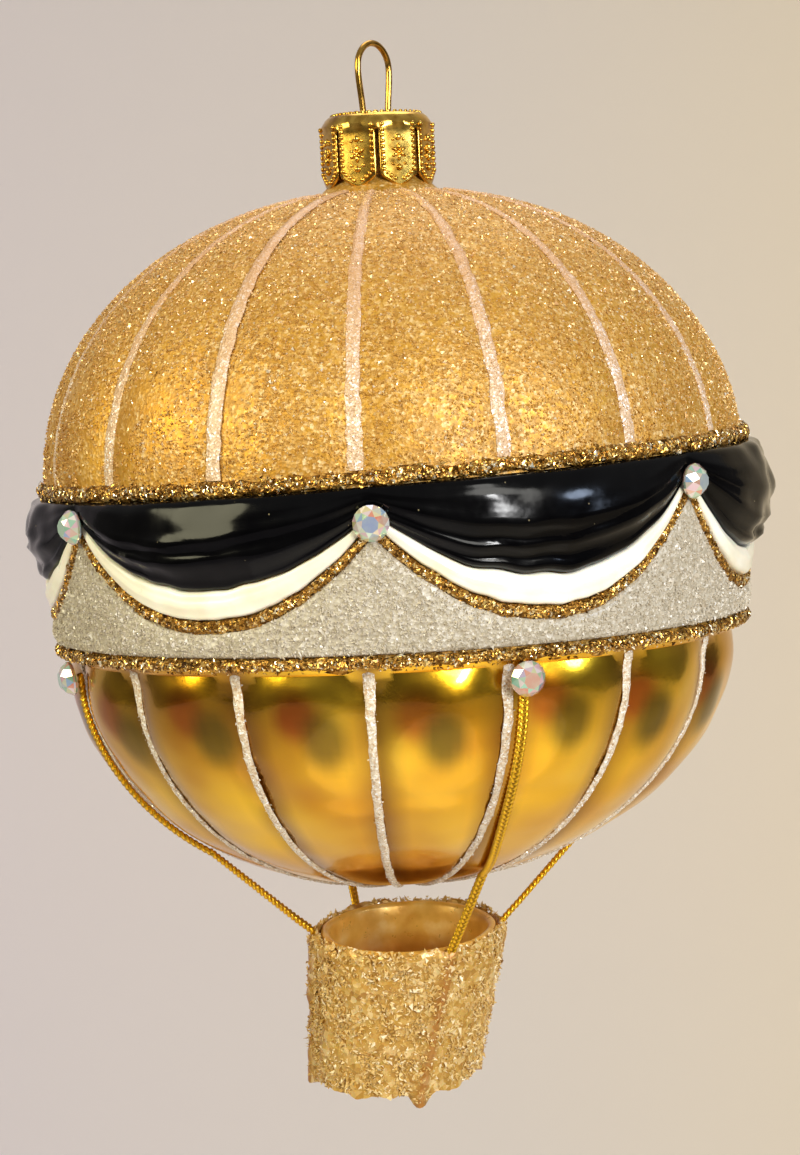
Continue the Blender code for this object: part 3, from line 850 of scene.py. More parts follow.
def spun_rows(rows: int, columns: int, closed: bool) -> bmesh.types.BMesh:
    """Spin a row of marker points, so that each vertex can be told apart and then placed.

    Args:
        rows: number of points; point i stands at a radius of 1000 + i millimetres.
        columns: steps of the full turn.
        closed: whether the last point joins the first.

    Returns:
        The spun sheet.
    """
    builder = bmesh.new()
    verts = [builder.verts.new((0.0, -(1000.0 + row) * MM, 0.0)) for row in range(rows)]
    edges = [builder.edges.new(pair) for pair in zip(verts, verts[1:])]
    if closed:
        edges.append(builder.edges.new((verts[-1], verts[0])))
    bmesh.ops.spin(
        builder, geom=verts + edges, cent=(0, 0, 0), axis=(0, 0, 1),
        angle=math.tau, steps=columns, use_merge=True, use_duplicate=False)
    return builder


def place_spun(builder: bmesh.types.BMesh, place: Place) -> None:
    """Move each vertex of a spun sheet to its real place.

    Args:
        builder: a sheet from spun_rows.
        place: gives places in millimetres for row numbers and azimuths.
    """
    marks = np.array([vert.co for vert in builder.verts]) / MM
    row = np.rint(np.hypot(marks[:, 0], marks[:, 1])).astype(int) - 1000
    azimuth = np.degrees(np.arctan2(marks[:, 0], -marks[:, 1]))
    for vert, spot in zip(builder.verts, place(row, azimuth) * MM):
        vert.co = spot


def make_piece(name: str, builder: bmesh.types.BMesh, sharp: float = 45.0) -> bpy.types.Object:
    """Turn a bmesh into an object with closed seams and outward faces.

    Args:
        name: name of the piece.
        builder: its mesh, which is freed.
        sharp: edges above this angle in degrees stay sharp.

    Returns:
        The new object.
    """
    bmesh.ops.remove_doubles(builder, verts=builder.verts, dist=1e-6)
    bmesh.ops.recalc_face_normals(builder, faces=builder.faces)
    if builder.calc_volume(signed=True) < 0.0:
        bmesh.ops.reverse_faces(builder, faces=builder.faces)
    mesh = bpy.data.meshes.new(name)
    builder.to_mesh(mesh)
    builder.free()
    mesh.shade_smooth()
    mesh.set_sharp_from_angle(angle=math.radians(sharp))
    return link_piece(name, mesh)


def link_piece(name: str, mesh: bpy.types.Mesh) -> bpy.types.Object:
    """Put a mesh into the scene as an object.

    Args:
        name: name of the object.
        mesh: its mesh.

    Returns:
        The object.
    """
    piece = bpy.data.objects.new(name, mesh)
    bpy.context.scene.collection.objects.link(piece)
    return piece


def mesh_points(piece: bpy.types.Object) -> Array:
    """Vertices of a piece.

    Args:
        piece: the piece.

    Returns:
        Their places in millimetres.
    """
    flat = np.empty(len(piece.data.vertices) * 3, np.float32)
    piece.data.vertices.foreach_get("co", flat)
    return flat.reshape(-1, 3).astype(float) / MM


def carry(piece: bpy.types.Object, name: str, values: Array) -> None:
    """Store one number for each vertex of a piece under a name."""
    data = piece.data.attributes.new(name, "FLOAT", "POINT").data
    data.foreach_set("value", np.ascontiguousarray(values, np.float32))


def deliver(
    piece: bpy.types.Object, finish: Finish, slot: str, *nodes: str, body: Body = Body.BALLOON,
) -> None:
    """Dress a piece, set it on its body and let it stand for its CAD nodes.

    Args:
        piece: the finished object.
        finish: its finish.
        slot: the record's material slot; not used.
        nodes: the CAD nodes it replaces.
        body: the body it rides on.
    """
    if not piece.data.materials:
        piece.data.materials.append(finish.material())
    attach(piece, body.value)
    if nodes:
        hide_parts(*nodes)
    LOG.info("%s: %d faces", piece.name, len(piece.data.polygons))


@dataclass(frozen=True)
class Grain:
    """One small solid that is repeated many times."""

    points: Array
    faces: Array

    @classmethod
    def cut(cls, sides: int, height: float, top: float = 0.0) -> "Grain":
        """A pointed or blunt splinter around the origin.

        Args:
            sides: number of sides.
            height: its height for a radius of 1.
            top: radius of its upper end.

        Returns:
            The grain.
        """
        builder = bmesh.new()
        bmesh.ops.create_cone(
            builder, cap_ends=True, cap_tris=False, segments=sides, radius1=1.0, radius2=top, depth=height)
        bmesh.ops.remove_doubles(builder, verts=builder.verts, dist=1e-5)
        return cls.read(builder)

    @classmethod
    def bead(cls, around: int = 8, high: int = 5) -> "Grain":
        """A round bead of radius 1.

        Args:
            around: segments round its axis.
            high: rings from pole to pole.

        Returns:
            The grain.
        """
        builder = bmesh.new()
        bmesh.ops.create_uvsphere(builder, u_segments=around, v_segments=high, radius=1.0)
        return cls.read(builder)

    @classmethod
    def read(cls, builder: bmesh.types.BMesh) -> "Grain":
        """Take the grain's triangles from a bmesh.

        Args:
            builder: a closed shape, which is freed.

        Returns:
            The grain.
        """
        bmesh.ops.triangulate(builder, faces=builder.faces)
        bmesh.ops.recalc_face_normals(builder, faces=builder.faces)
        builder.verts.index_update()
        points = np.array([vert.co for vert in builder.verts])
        faces = np.array([[vert.index for vert in face.verts] for face in builder.faces])
        builder.free()
        return cls(points, faces)


@dataclass
class Scatter:
    """Many copies of one grain, each with its own place, tilt, size and tone."""

    grain: Grain
    seed: int
    tilt: float = 0.6
    maker: np.random.Generator = field(init=False)

    def __post_init__(self) -> None:
        """Seed the random numbers."""
        self.maker = np.random.default_rng(self.seed)

    def build(
        self, name: str, centres: Array, normals: Array, sizes: Array,
        stretch: tuple[float, float] = (1.0, 1.0), flat: bool = True, turns: Any = None,
    ) -> bpy.types.Object:
        """Copy the grain to every place.

        Args:
            name: name of the piece.
            centres: places in millimetres.
            normals: outward directions there.
            sizes: radius of each copy in millimetres, one number or three numbers each.
            stretch: least and greatest stretch along one side.
            flat: whether facets stay flat.
            turns: turn of each copy round its own axis in radians; random ones if left out.

        Returns:
            The piece.
        """
        count = len(centres)
        side = np.cross(normals, (0.0, 0.0, 1.0))
        weak = np.linalg.norm(side, axis=1) < 1e-4
        side[weak] = (1.0, 0.0, 0.0)
        side /= np.linalg.norm(side, axis=1, keepdims=True)
        across = np.cross(normals, side)
        lean = self.maker.uniform(0.0, self.tilt, count)[:, None]
        way = self.maker.uniform(0.0, math.tau, count)[:, None]
        up = normals + lean * (np.cos(way) * side + np.sin(way) * across)
        up /= np.linalg.norm(up, axis=1, keepdims=True)
        turn = self.maker.uniform(0.0, math.tau, count) if turns is None else np.asarray(turns, float)
        side = np.cos(turn)[:, None] * side + np.sin(turn)[:, None] * across
        first = side - (side * up).sum(axis=1, keepdims=True) * up
        first /= np.linalg.norm(first, axis=1, keepdims=True)
        second = np.cross(up, first)
        scale = np.broadcast_to(np.atleast_2d(np.asarray(sizes, float).T).T, (count, 3)).copy()
        scale[:, 0] *= self.maker.uniform(*stretch, count)
        local = self.grain.points[None] * scale[:, None, :]
        spots = centres[:, None] + local[..., 0:1] * first[:, None] + local[..., 1:2] * second[:, None]
        spots += local[..., 2:3] * up[:, None]
        corners = len(self.grain.points)
        faces = self.grain.faces[None] + (np.arange(count) * corners)[:, None, None]
        mesh = bpy.data.meshes.new(name)
        mesh.from_pydata(spots.reshape(-1, 3) * MM, [], faces.reshape(-1, 3), shade_flat=flat)
        piece = link_piece(name, mesh)
        carry(piece, "tone", np.repeat(self.maker.uniform(0.0, 1.0, count), corners))
        return piece


SPLINTER = Grain.cut(3, 1.1)
FLAKE = Grain.cut(3, 0.4, 0.5)
BEAD = Grain.bead()


def skin_ring(
    name: str, top: Callable[[Array], Array], bottom: Callable[[Array], Array],
    lift: Place, rows: int, columns: int, edge: float = 0.35,
) -> bpy.types.Object:
    """Closed ring on the glass between two lines, with rounded edges.

    Args:
        name: name of the piece.
        top: height of its upper edge at an azimuth.
        bottom: height of its lower edge.
        lift: its thickness above the seat, at azimuths and shares of its height.
        rows: rows of its outer face.
        columns: columns round the glass.
        edge: radius of its edges in millimetres.

    Returns:
        The piece.
    """
    outer = 0.5 - 0.5 * np.cos(np.linspace(0.0, math.pi, rows + 1))
    inner = np.array([1.0, 0.5, 0.0])
    shares = np.concatenate([outer, inner])
    builder = spun_rows(len(shares), columns, closed=True)

    def place(row: Array, azimuth: Array) -> Array:
        """Round the ring's edges and seat its back on the glass.

        Args:
            row: row numbers.
            azimuth: degrees from the front.

        Returns:
            Places in millimetres.
        """
        share = shares[row]
        high = top(azimuth)
        low = bottom(azimuth)
        rim = np.minimum(share, 1.0 - share) * (high - low)
        near = np.clip(1.0 - rim / edge, 0.0, 1.0)
        thick = lift(azimuth, share) * (0.35 + 0.65 * np.sqrt(np.maximum(1.0 - near * near, 0.0)))
        above = SEAT_GAP + np.where(row <= rows, thick, 0.0)
        return FORM.point(azimuth, high + (low - high) * share, above)

    place_spun(builder, place)
    return make_piece(name, builder, 60.0)


# Sub-assemblies


@dataclass
class Envelope:
    """Blown glass shell: sugared gold dome, hidden waist and satin gold bowl."""

    columns: int = 256
    spacing: float = 1.05
    inner_spacing: float = 6.4
    grains_tried: int = 34500
    # Each dent: azimuth, height, depth and reach.
    dents: tuple[tuple[float, float, float, float], ...] = (
        (-26.0, -98.0, 0.55, 4.0), (-40.0, -93.0, 0.3, 4.5), (17.0, -104.0, 0.3, 5.0),
        (5.0, -108.0, 0.25, 4.0), (38.0, -96.0, 0.25, 5.0), (-62.0, -100.0, 0.35, 5.0),
        (140.0, -97.0, 0.4, 5.0), (215.0, -101.0, 0.35, 4.5), (-14.0, -104.0, 0.32, 2.8),
        (11.0, -111.0, 0.3, 2.6), (27.0, -100.5, 0.28, 3.0), (-33.0, -106.0, 0.35, 3.2))

    # Each painted reflection in the bowl's gores: name, height, place across the gore and reach.
    patches: tuple[tuple[str, float, float, float], ...] = (
        ("amber_reflection", -89.0, -0.05, 4.6), ("olive_reflection", -92.2, 0.14, 5.6))

    def heights(self, top: float, bottom: float, spacing: float) -> Array:
        """Heights at even steps along the outline.

        Args:
            top: first height.
            bottom: last height.
            spacing: length of one step in millimetres.

        Returns:
            The heights.
        """
        fine = np.linspace(top, bottom, 20000)
        radius = FORM.ridge(fine)
        along = np.concatenate([[0.0], np.cumsum(np.hypot(np.diff(radius), np.diff(fine)))])
        return np.interp(np.linspace(0.0, along[-1], int(along[-1] / spacing)), along, fine)

    def unevenness(self, azimuth: Array, z: Array) -> Array:
        """How far the hand blown glass strays from its form.

        Args:
            azimuth: degrees from the front.
            z: heights in millimetres.

        Returns:
            Millimetres outwards.
        """
        spots = FORM.point(azimuth, z)
        bowl = smooth((FORM.lower_line_z - 2.0 - z) / 6.0)
        stray = 0.16 * rough_noise(spots, 13.0, 5) * bowl + 0.05 * rough_noise(spots, 6.0, 6) * bowl
        front = np.exp(-((wrapped(azimuth - 4.0) / 30.0) ** 2))
        stray -= 0.22 * np.exp(-(((z + 100.5) / 1.5) ** 2)) * front
        for middle, height, depth, reach in self.dents:
            heart = FORM.point(middle, height)
            stray -= depth * np.exp(-((spots - heart) ** 2).sum(axis=-1) / (2.0 * reach * reach)) * bowl
        return stray

    def build(self) -> bpy.types.Object:
        """Spin the shell and mark its seams and patches.

        Returns:
            The shell.
        """
        outer = self.heights(FORM.neck_top_z, FORM.tip_z, self.spacing)
        inner = self.heights(FORM.tip_z + FORM.wall, FORM.neck_top_z, self.inner_spacing)
        z_rows = np.concatenate([outer, inner])
        last = len(outer) - 1
        builder = spun_rows(len(z_rows), self.columns, closed=True)

        def place(row: Array, azimuth: Array) -> Array:
            """Outer rows follow the blown form, inner rows lie one wall deeper.

            Args:
                row: row numbers.
                azimuth: degrees from the front.

            Returns:
                Places in millimetres.
            """
            z = z_rows[row]
            outside = row <= last
            lift = np.where(outside, self.unevenness(azimuth, z), -FORM.wall)
            lift = np.maximum(lift, -FORM.radius(azimuth, z))
            lift = np.where((row == last) | (row == last + 1), -FORM.radius(azimuth, z), lift)
            return FORM.point(azimuth, z, lift)

        turned = 360.0 / self.columns
        offset = FORM.first_seam % turned
        place_spun(builder, lambda row, azimuth: place(row, azimuth + offset))
        shell = make_piece("glass_shell", builder, 50.0)
        self.mark(shell)
        return shell

    def mark(self, shell: bpy.types.Object) -> None:
        """Carry the seams, bare patches and painted reflections of the lacquer on the shell and give it its
        two finishes.

        Args:
            shell: the spun shell.
        """
        spots = mesh_points(shell)
        azimuth = np.degrees(np.arctan2(spots[:, 0], -spots[:, 1]))
        z = spots[:, 2]
        seam = FORM.seam_share(azimuth)
        carry(shell, "seam", seam)
        left = 0.3 + 0.7 * smooth((-azimuth - 5.0) / 30.0)
        carry(shell, "bare", smooth((-38.0 - z) / 14.0) * (1.0 - 0.6 * seam) * left)
        pitch = 360.0 / FORM.gores
        share = ((azimuth - FORM.first_seam) / pitch) % 1.0
        number = np.floor((azimuth - FORM.first_seam) / pitch).astype(int) % FORM.gores
        lucky = np.random.default_rng(11).uniform(0.75, 1.0, (2, FORM.gores))
        nudge = np.random.default_rng(12).uniform(-1.0, 1.0, (2, FORM.gores))
        middle = np.radians(FORM.first_seam + (number + 0.5) * pitch)
        # Painted reflections: their place across each gore shifts with the gore's azimuth.
        heart = 0.43 - 0.3 * np.sin(middle) + 0.05 * nudge[0][number]
        for row, (name, level, side, reach) in enumerate(self.patches):
            away = np.hypot((z - level - nudge[1][number]) / reach, (share - heart - side) / 0.23)
            carry(shell, name, 0.92 * lucky[row][number] * (1.0 - smooth((away - 0.35) / 0.7)))
        shell.data.materials.append(SugaredGold().material())
        shell.data.materials.append(SatinGoldLacquer().material())
        centres = np.empty(len(shell.data.polygons) * 3, np.float32)
        shell.data.polygons.foreach_get("center", centres)
        bowl = centres.reshape(-1, 3)[:, 2] < FORM.lower_line_z * MM
        shell.data.polygons.foreach_set("material_index", bowl.astype(np.int32))

    def sugar(self, number: int, start: float, end: float) -> bpy.types.Object:
        """Crushed glass on one half of the dome.

        Args:
            number: number of the piece, also its seed.
            start: first azimuth.
            end: last azimuth.

        Returns:
            The grains.
        """
        count = self.grains_tried
        scatter = Scatter(SPLINTER, 40 + number, 0.9)
        maker = scatter.maker
        fine = np.linspace(FORM.dome_top_z - 0.25, FORM.upper_line_z - 1.0, 4000)
        radius = FORM.ridge(fine)
        area = np.cumsum(radius * np.hypot(np.gradient(radius), np.gradient(fine)))
        z = np.interp(maker.uniform(0.0, area[-1], count), area, fine)
        azimuth = maker.uniform(start, end, count)
        kept = z > FORM.upper_line(azimuth) + FORM.line_height / 2 - 0.5
        side = (FORM.seam_share(azimuth) > 0.86) & (FORM.ridge(z) > 10.0)
        kept &= ~side | (maker.uniform(size=count) < 0.15 + 0.75 * smooth((z + 42.0) / 20.0))
        patch = rough_noise(FORM.point(azimuth, z), 9.0, 21) * smooth((-36.0 - z) / 14.0)
        patch *= 0.5 + 0.5 * smooth((-wrapped(azimuth) - 5.0) / 30.0)
        kept &= maker.uniform(size=count) > 0.9 * smooth((patch - 0.05) / 0.8)
        z, azimuth = z[kept], azimuth[kept]
        normals = FORM.normal(azimuth, z)
        size = maker.lognormal(math.log(0.167), 0.32, len(z))
        centres = FORM.point(azimuth, z) + normals * (maker.uniform(0.02, 0.22, len(z)))[:, None]
        return scatter.build(f"dome_sugar_{number}", centres, normals, size, (0.7, 1.6))

    def assemble(self) -> None:
        """Build the shell and its sugar."""
        deliver(self.build(), SugaredGold(), "gold_glass", "glass_envelope")
        for number, start in enumerate((-90.0, 90.0), start=1):
            deliver(self.sugar(number, start, start + 180.0), DOME_SUGAR, "gold_glass")


@dataclass
class Stripes:
    """White glitter stripes in the seams of the dome and of the bowl."""

    dome_width: float = 1.9
    bowl_width: float = 1.05
    thick: float = 0.4
    rows: int = 60

    def width(self, z: Array, dome: bool) -> Array:
        """Width of a stripe.

        Args:
            z: heights in millimetres.
            dome: whether it is on the dome.

        Returns:
            Widths in millimetres.
        """
        if dome:
            return self.dome_width * (0.45 + 0.55 * FORM.ridge(z) / FORM.dome_radius)
        flare = 0.6 * np.exp(-np.maximum(FORM.lower_line_z - z, 0.0) / 8.0)
        return np.minimum(self.bowl_width + flare, FORM.ridge(z) * 0.16 + 0.25)

    def span(self, seam: float, dome: bool) -> tuple[float, float]:
        """Heights between which a stripe runs.

        Args:
            seam: its azimuth.
            dome: whether it is on the dome.

        Returns:
            Its first and last height.
        """
        half = FORM.line_height / 2
        if dome:
            return FORM.dome_top_z - 0.6, float(FORM.upper_line(seam)) + half - 0.3
        return FORM.lower_line_z - half + 0.3, FORM.tip_z + 0.25

    def seam_azimuths(self) -> Array:
        """Azimuths of all seams."""
        return FORM.first_seam + 360.0 / FORM.gores * np.arange(FORM.gores)

    def build(self, name: str, dome: bool) -> bpy.types.Object:
        """Lay one ribbon into each seam.

        Args:
            name: name of the piece.
            dome: whether the stripes are on the dome.

        Returns:
            The stripes.
        """
        builder = bmesh.new()
        across = 6
        for number, seam in enumerate(self.seam_azimuths()):
            made = bmesh.ops.create_grid(builder, x_segments=across, y_segments=self.rows, size=1.0)
            verts = made["verts"]
            flat = np.array([vert.co for vert in verts])
            start, end = self.span(seam, dome)
            fine = np.linspace(start, end, 4000)
            along = np.cumsum(np.hypot(np.gradient(FORM.ridge(fine)), np.gradient(fine)))
            share = (flat[:, 1] + 1.0) / 2.0
            z = np.interp(along[0] + share * (along[-1] - along[0]), along, fine)
            middle = FORM.point(seam, z)
            wobble = 1.0 + 0.16 * rough_noise(middle + flat[:, :1] * 7.0, 3.0, 60 + number)
            half = self.width(z, dome) / 2.0 * wobble * flat[:, 0]
            radius = np.maximum(FORM.radius(seam, z), 0.5)
            azimuth = seam + np.degrees(half / radius)
            hump = (1.0 - flat[:, 0] ** 2) * self.thick * 0.8
            hump += 0.06 * rough_noise(FORM.point(azimuth, z), 1.6, 80 + number)
            spots = FORM.point(azimuth, z) + FORM.normal(azimuth, z) * (0.06 + hump)[:, None]
            for vert, spot in zip(verts, spots * MM):
                vert.co = spot
        bmesh.ops.recalc_face_normals(builder, faces=builder.faces)
        bmesh.ops.solidify(builder, geom=builder.faces, thickness=0.25 * MM)
        return make_piece(name, builder, 60.0)

    def sugar(self, name: str, dome: bool, count: int, seed: int) -> bpy.types.Object:
        """Fine glitter on the stripes.

        Args:
            name: name of the piece.
            dome: whether the stripes are on the dome.
            count: how many grains are tried.
            seed: seed of the random numbers.

        Returns:
            The grains.
        """
        scatter = Scatter(SPLINTER, seed, 0.8)
        maker = scatter.maker
        start, end = self.span(0.0, dome)
        fine = np.linspace(start, end, 4000)
        along = np.cumsum(np.hypot(np.gradient(FORM.ridge(fine)), np.gradient(fine)))
        z = np.interp(maker.uniform(along[0], along[-1], count), along, fine)
        seam = maker.choice(self.seam_azimuths(), count)
        radius = np.maximum(FORM.radius(seam, z), 1.0)
        half = self.width(z, dome) / 2.0 * np.clip(maker.normal(0.0, 0.55, count), -1.25, 1.25)
        azimuth = seam + np.degrees(half / radius)
        normals = FORM.normal(azimuth, z)
        hump = self.thick * 0.8 * (1.0 - np.clip(np.abs(half) * 2.0 / self.width(z, dome), 0.0, 1.0) ** 2)
        centres = FORM.point(azimuth, z) + normals * (0.1 + hump)[:, None]
        return scatter.build(name, centres, normals, maker.lognormal(math.log(0.11), 0.25, count), (0.8, 1.4))

    def assemble(self) -> None:
        """Build both sets of stripes with their glitter."""
        upper = StripeGlitter("warm_glitter_glue", "#d2b08c", "#e2c8a8", "#c39262")
        lower = StripeGlitter("white_glitter_glue", "#dccbb0", "#f0e5d0")
        deliver(self.build("dome_stripes", True), upper, "white_enamel", "upper_stripes")
        deliver(self.build("bowl_stripes", False), lower, "white_enamel", "lower_stripes")
        deliver(self.sugar("dome_stripe_glitter", True, 9000, 71), STRIPE_SUGAR, "white_enamel")
        deliver(self.sugar("bowl_stripe_glitter", False, 8000, 72), LOW_STRIPE_SUGAR, "white_enamel")


@dataclass
class Drapes:
    """Black and white swags, glitter festoons, frosted band and the two glitter lines."""

    black_low_z: float = -71.9
    festoon_low_z: float = -76.9
    festoon_height: float = 1.8
    black_pinch: float = 1.2
    white_pinch: float = 0.7
    skin: float = 0.6
    black_bulges: tuple[float, ...] = (2.2, 2.2, 3.3, 2.6, 2.3, 2.3, 2.3)
    white_bulge: float = 0.9
    columns: int = 336
    frost_grains: int = 20000
    festoon_flakes: int = 6800
    line_flakes: int = 7600

    def fullness(self, azimuth: Array) -> Array:
        """How full a swag hangs: 0 at its junctions, 1 in its middle."""
        return np.abs(np.sin(math.pi * FORM.swag(azimuth)[1])) ** 0.7

    def black_top(self, azimuth: Array) -> Array:
        """Upper edge of the black swags."""
        return FORM.upper_line(azimuth) - FORM.line_height / 2 + 0.2

    def black_low(self, azimuth: Array) -> Array:
        """Lower edge of the black swags, a little wavy."""
        wave = 0.22 * rough_noise(unit(azimuth) * 48.0, 5.0, 31) * self.fullness(azimuth)
        return FORM.hang(azimuth, self.black_low_z, self.black_pinch) + wave

    def white_top(self, azimuth: Array) -> Array:
        """Upper edge of the white swags, tucked against the black ones."""
        return self.black_low(azimuth) - 0.12

    def festoon_top(self, azimuth: Array) -> Array:
        """Upper edge of the glitter festoons.

        Args:
            azimuth: degrees from the front.

        Returns:
            Heights in millimetres.
        """
        offset = self.black_pinch - SEAT_GAP * 2 - self.white_pinch - self.festoon_height / 2
        wave = 0.12 * rough_noise(unit(azimuth) * 48.0, 3.0, 32)
        return FORM.hang(azimuth, self.festoon_low_z, offset) + self.festoon_height / 2 + wave

    def black_lift(self, azimuth: Array, share: Array) -> Array:
        """Thickness of the black swags, with nested folds that gather at the junctions.

        Args:
            azimuth: degrees from the front.
            share: share of the height, from the top.

        Returns:
            Millimetres above the seat.
        """
        full = self.fullness(azimuth)
        number, place = FORM.swag(azimuth)
        maker = np.random.default_rng(77)
        count = len(FORM.junctions)
        phase = maker.uniform(0.0, math.tau, count)[number]
        folds = maker.uniform(3.2, 4.6, count)[number]
        lean = maker.uniform(-0.12, 0.12, count)[number]
        bulge = np.array(self.black_bulges)[number]
        body = self.skin + bulge * full * np.sin(math.pi * (0.1 + 0.8 * share))
        warp = share + lean * (place - 0.5) + 0.05 * np.sin(math.tau * (1.4 * share + place) + phase)
        crest = np.sin(math.tau * folds * warp + phase)
        crest = np.sign(crest) * np.abs(crest) ** 1.3
        depth = (0.06 + 0.3 * smooth((share - 0.3) / 0.45)) * (0.3 + 0.7 * full)
        spots = unit(azimuth) * 50.0 + np.stack([share * 0, share * 0, -share * 12.0], axis=-1)
        lumps = 0.2 * rough_noise(spots, 8.0, 33) * full
        side = smooth((np.abs(wrapped(azimuth)) - 58.0) / 20.0)
        lumps += 0.4 * side * rough_noise(spots, 6.5, 34) * full
        return np.maximum(body + depth * crest + lumps, 0.3)

    def white_lift(self, azimuth: Array, share: Array) -> Array:
        """Thickness of the white swags.

        Args:
            azimuth: degrees from the front.
            share: share of the height, from the top.

        Returns:
            Millimetres above the seat.
        """
        number, _ = FORM.swag(azimuth)
        body = self.skin + self.white_bulge * self.fullness(azimuth) * np.sin(math.pi * (0.15 + 0.7 * share))
        return body + 0.1 * np.sin(math.tau * 2.3 * share + number) * self.fullness(azimuth)

    def build_line(self, name: str, middle: Callable[[Array], Array], seed: int) -> bpy.types.Object:
        """Bed of a straight glitter line.

        Args:
            name: name of the piece.
            middle: height of its middle.
            seed: picks its irregular edges.

        Returns:
            The bed.
        """
        half = FORM.line_height / 2
        foot = 49.0

        def edge(azimuth: Array, wavelength: float, number: int) -> Array:
            """Irregularity of an edge."""
            return 0.25 * rough_noise(unit(azimuth) * foot, wavelength, number)

        def lift(azimuth: Array, share: Array) -> Array:
            """Uneven hump of glue over the line's height.

            Args:
                azimuth: degrees from the front.
                share: share of the height, from the top.

            Returns:
                Millimetres above the seat.
            """
            spots = unit(azimuth) * foot + np.stack([share * 0, share * 0, share * 2.6], axis=-1)
            hump = FORM.line_thick * (0.5 + 0.5 * np.sin(math.pi * share))
            return hump + 0.1 * rough_noise(spots, 1.6, seed)

        return skin_ring(
            name,
            lambda azimuth: middle(azimuth) + half - 0.45 + edge(azimuth, 3.2, seed + 1),
            lambda azimuth: middle(azimuth) - half + 0.3 - edge(azimuth, 3.6, seed + 2),
            lift, 8, 512)

    def flakes(
        self, name: str, middle: Callable[[Array], Array], half: float, thick: float, count: int, seed: int,
    ) -> bpy.types.Object:
        """Coarse glitter on a line.

        Args:
            name: name of the piece.
            middle: height of the line's middle.
            half: half its height.
            thick: height of its hump above the glass.
            count: how many flakes.
            seed: seed of the random numbers.

        Returns:
            The flakes.
        """
        scatter = Scatter(FLAKE, seed, 0.9)
        maker = scatter.maker
        azimuth = maker.uniform(0.0, 360.0, count)
        across = np.clip(maker.normal(0.0, 0.52, count), -1.3, 1.3)
        z = middle(azimuth) + across * half
        hump = thick * (0.45 + 0.55 * np.cos(np.clip(across, -1, 1) * math.pi / 2))
        normals = unit(azimuth)
        normals[:, 2] += across * 0.6
        normals /= np.linalg.norm(normals, axis=1, keepdims=True)
        centres = FORM.point(azimuth, z, SEAT_GAP + hump + maker.uniform(-0.05, 0.22, count))
        size = maker.lognormal(math.log(0.235), 0.3, count)
        return scatter.build(name, centres, normals, size, (0.8, 1.5))

    def frost(self) -> bpy.types.Object:
        """Crushed glass on the frosted band.

        Returns:
            The grains.
        """
        count = self.frost_grains
        scatter = Scatter(SPLINTER, 55, 0.9)
        maker = scatter.maker
        azimuth = maker.uniform(0.0, 360.0, count * 2)
        bottom = FORM.lower_line_z + FORM.line_height / 2
        z = maker.uniform(bottom, -66.0, count * 2)
        top = self.festoon_top(azimuth) - self.festoon_height
        kept = z < top - 0.1
        azimuth, z, top = azimuth[kept][:count], z[kept][:count], top[kept][:count]
        share = (top - z) / np.maximum(top - bottom, 0.1)
        lift = SEAT_GAP + self.skin * (1.0 + 0.6 * np.sin(math.pi * share))
        centres = FORM.point(azimuth, z, lift + maker.uniform(-0.05, 0.2, len(z)))
        size = maker.lognormal(math.log(0.19), 0.35, len(z))
        return scatter.build("frosted_grains", centres, unit(azimuth), size, (0.7, 1.7))

    def assemble(self) -> None:
        """Build every band of the waist."""
        line_top = FORM.lower_line_z + FORM.line_height / 2 - 0.2

        def level(azimuth: Array) -> Array:
            """Height of the lower glitter line, the same all round."""
            return FORM.lower_line_z + 0 * azimuth

        black = skin_ring(
            "black_swags", self.black_top, self.black_low, self.black_lift, 26, self.columns, 0.8)
        deliver(black, BlackEnamel(), "black_enamel", "black_drape")
        white = skin_ring(
            "white_swags", self.white_top, lambda a: self.festoon_top(a) + 0.1,
            self.white_lift, 12, self.columns)
        deliver(white, WhiteEnamel(), "white_enamel", "white_drape")
        frosted = skin_ring(
            "frosted_bed",
            lambda a: self.festoon_top(a) - self.festoon_height + 0.1, lambda a: line_top + 0 * a,
            lambda a, share: self.skin * (1.0 + 0.6 * np.sin(math.pi * share)), 12, self.columns)
        deliver(frosted, FrostedWhite(), "frosted_white", "frosted_band")
        deliver(self.frost(), FROST_SUGAR, "frosted_white")
        festoon = skin_ring(
            "festoon_bed", self.festoon_top, lambda a: self.festoon_top(a) - self.festoon_height,
            lambda a, share: FORM.line_thick * (0.6 + 0.6 * np.sin(math.pi * share)), 8, 672)
        deliver(festoon, GlitterBed(), "gold_glitter", "glitter_festoons")
        strands = self.flakes(
            "festoon_flakes", lambda a: self.festoon_top(a) - self.festoon_height / 2, 0.72, 0.85,
            self.festoon_flakes, 91)
        deliver(strands, GOLD_FLAKES, "gold_glitter")
        upper = self.build_line("upper_line_bed", FORM.upper_line, 35)
        deliver(upper, GlitterBed(), "gold_glitter", "upper_glitter_line")
        lower = self.build_line("lower_line_bed", level, 45)
        deliver(lower, GlitterBed(), "gold_glitter", "lower_glitter_line")
        flakes = self.flakes("upper_line_flakes", FORM.upper_line, 0.9, 0.75, self.line_flakes, 92)
        deliver(flakes, GOLD_FLAKES, "gold_glitter")
        flakes = self.flakes("lower_line_flakes", level, 0.9, 0.75, self.line_flakes, 93)
        deliver(flakes, GOLD_FLAKES, "gold_glitter")


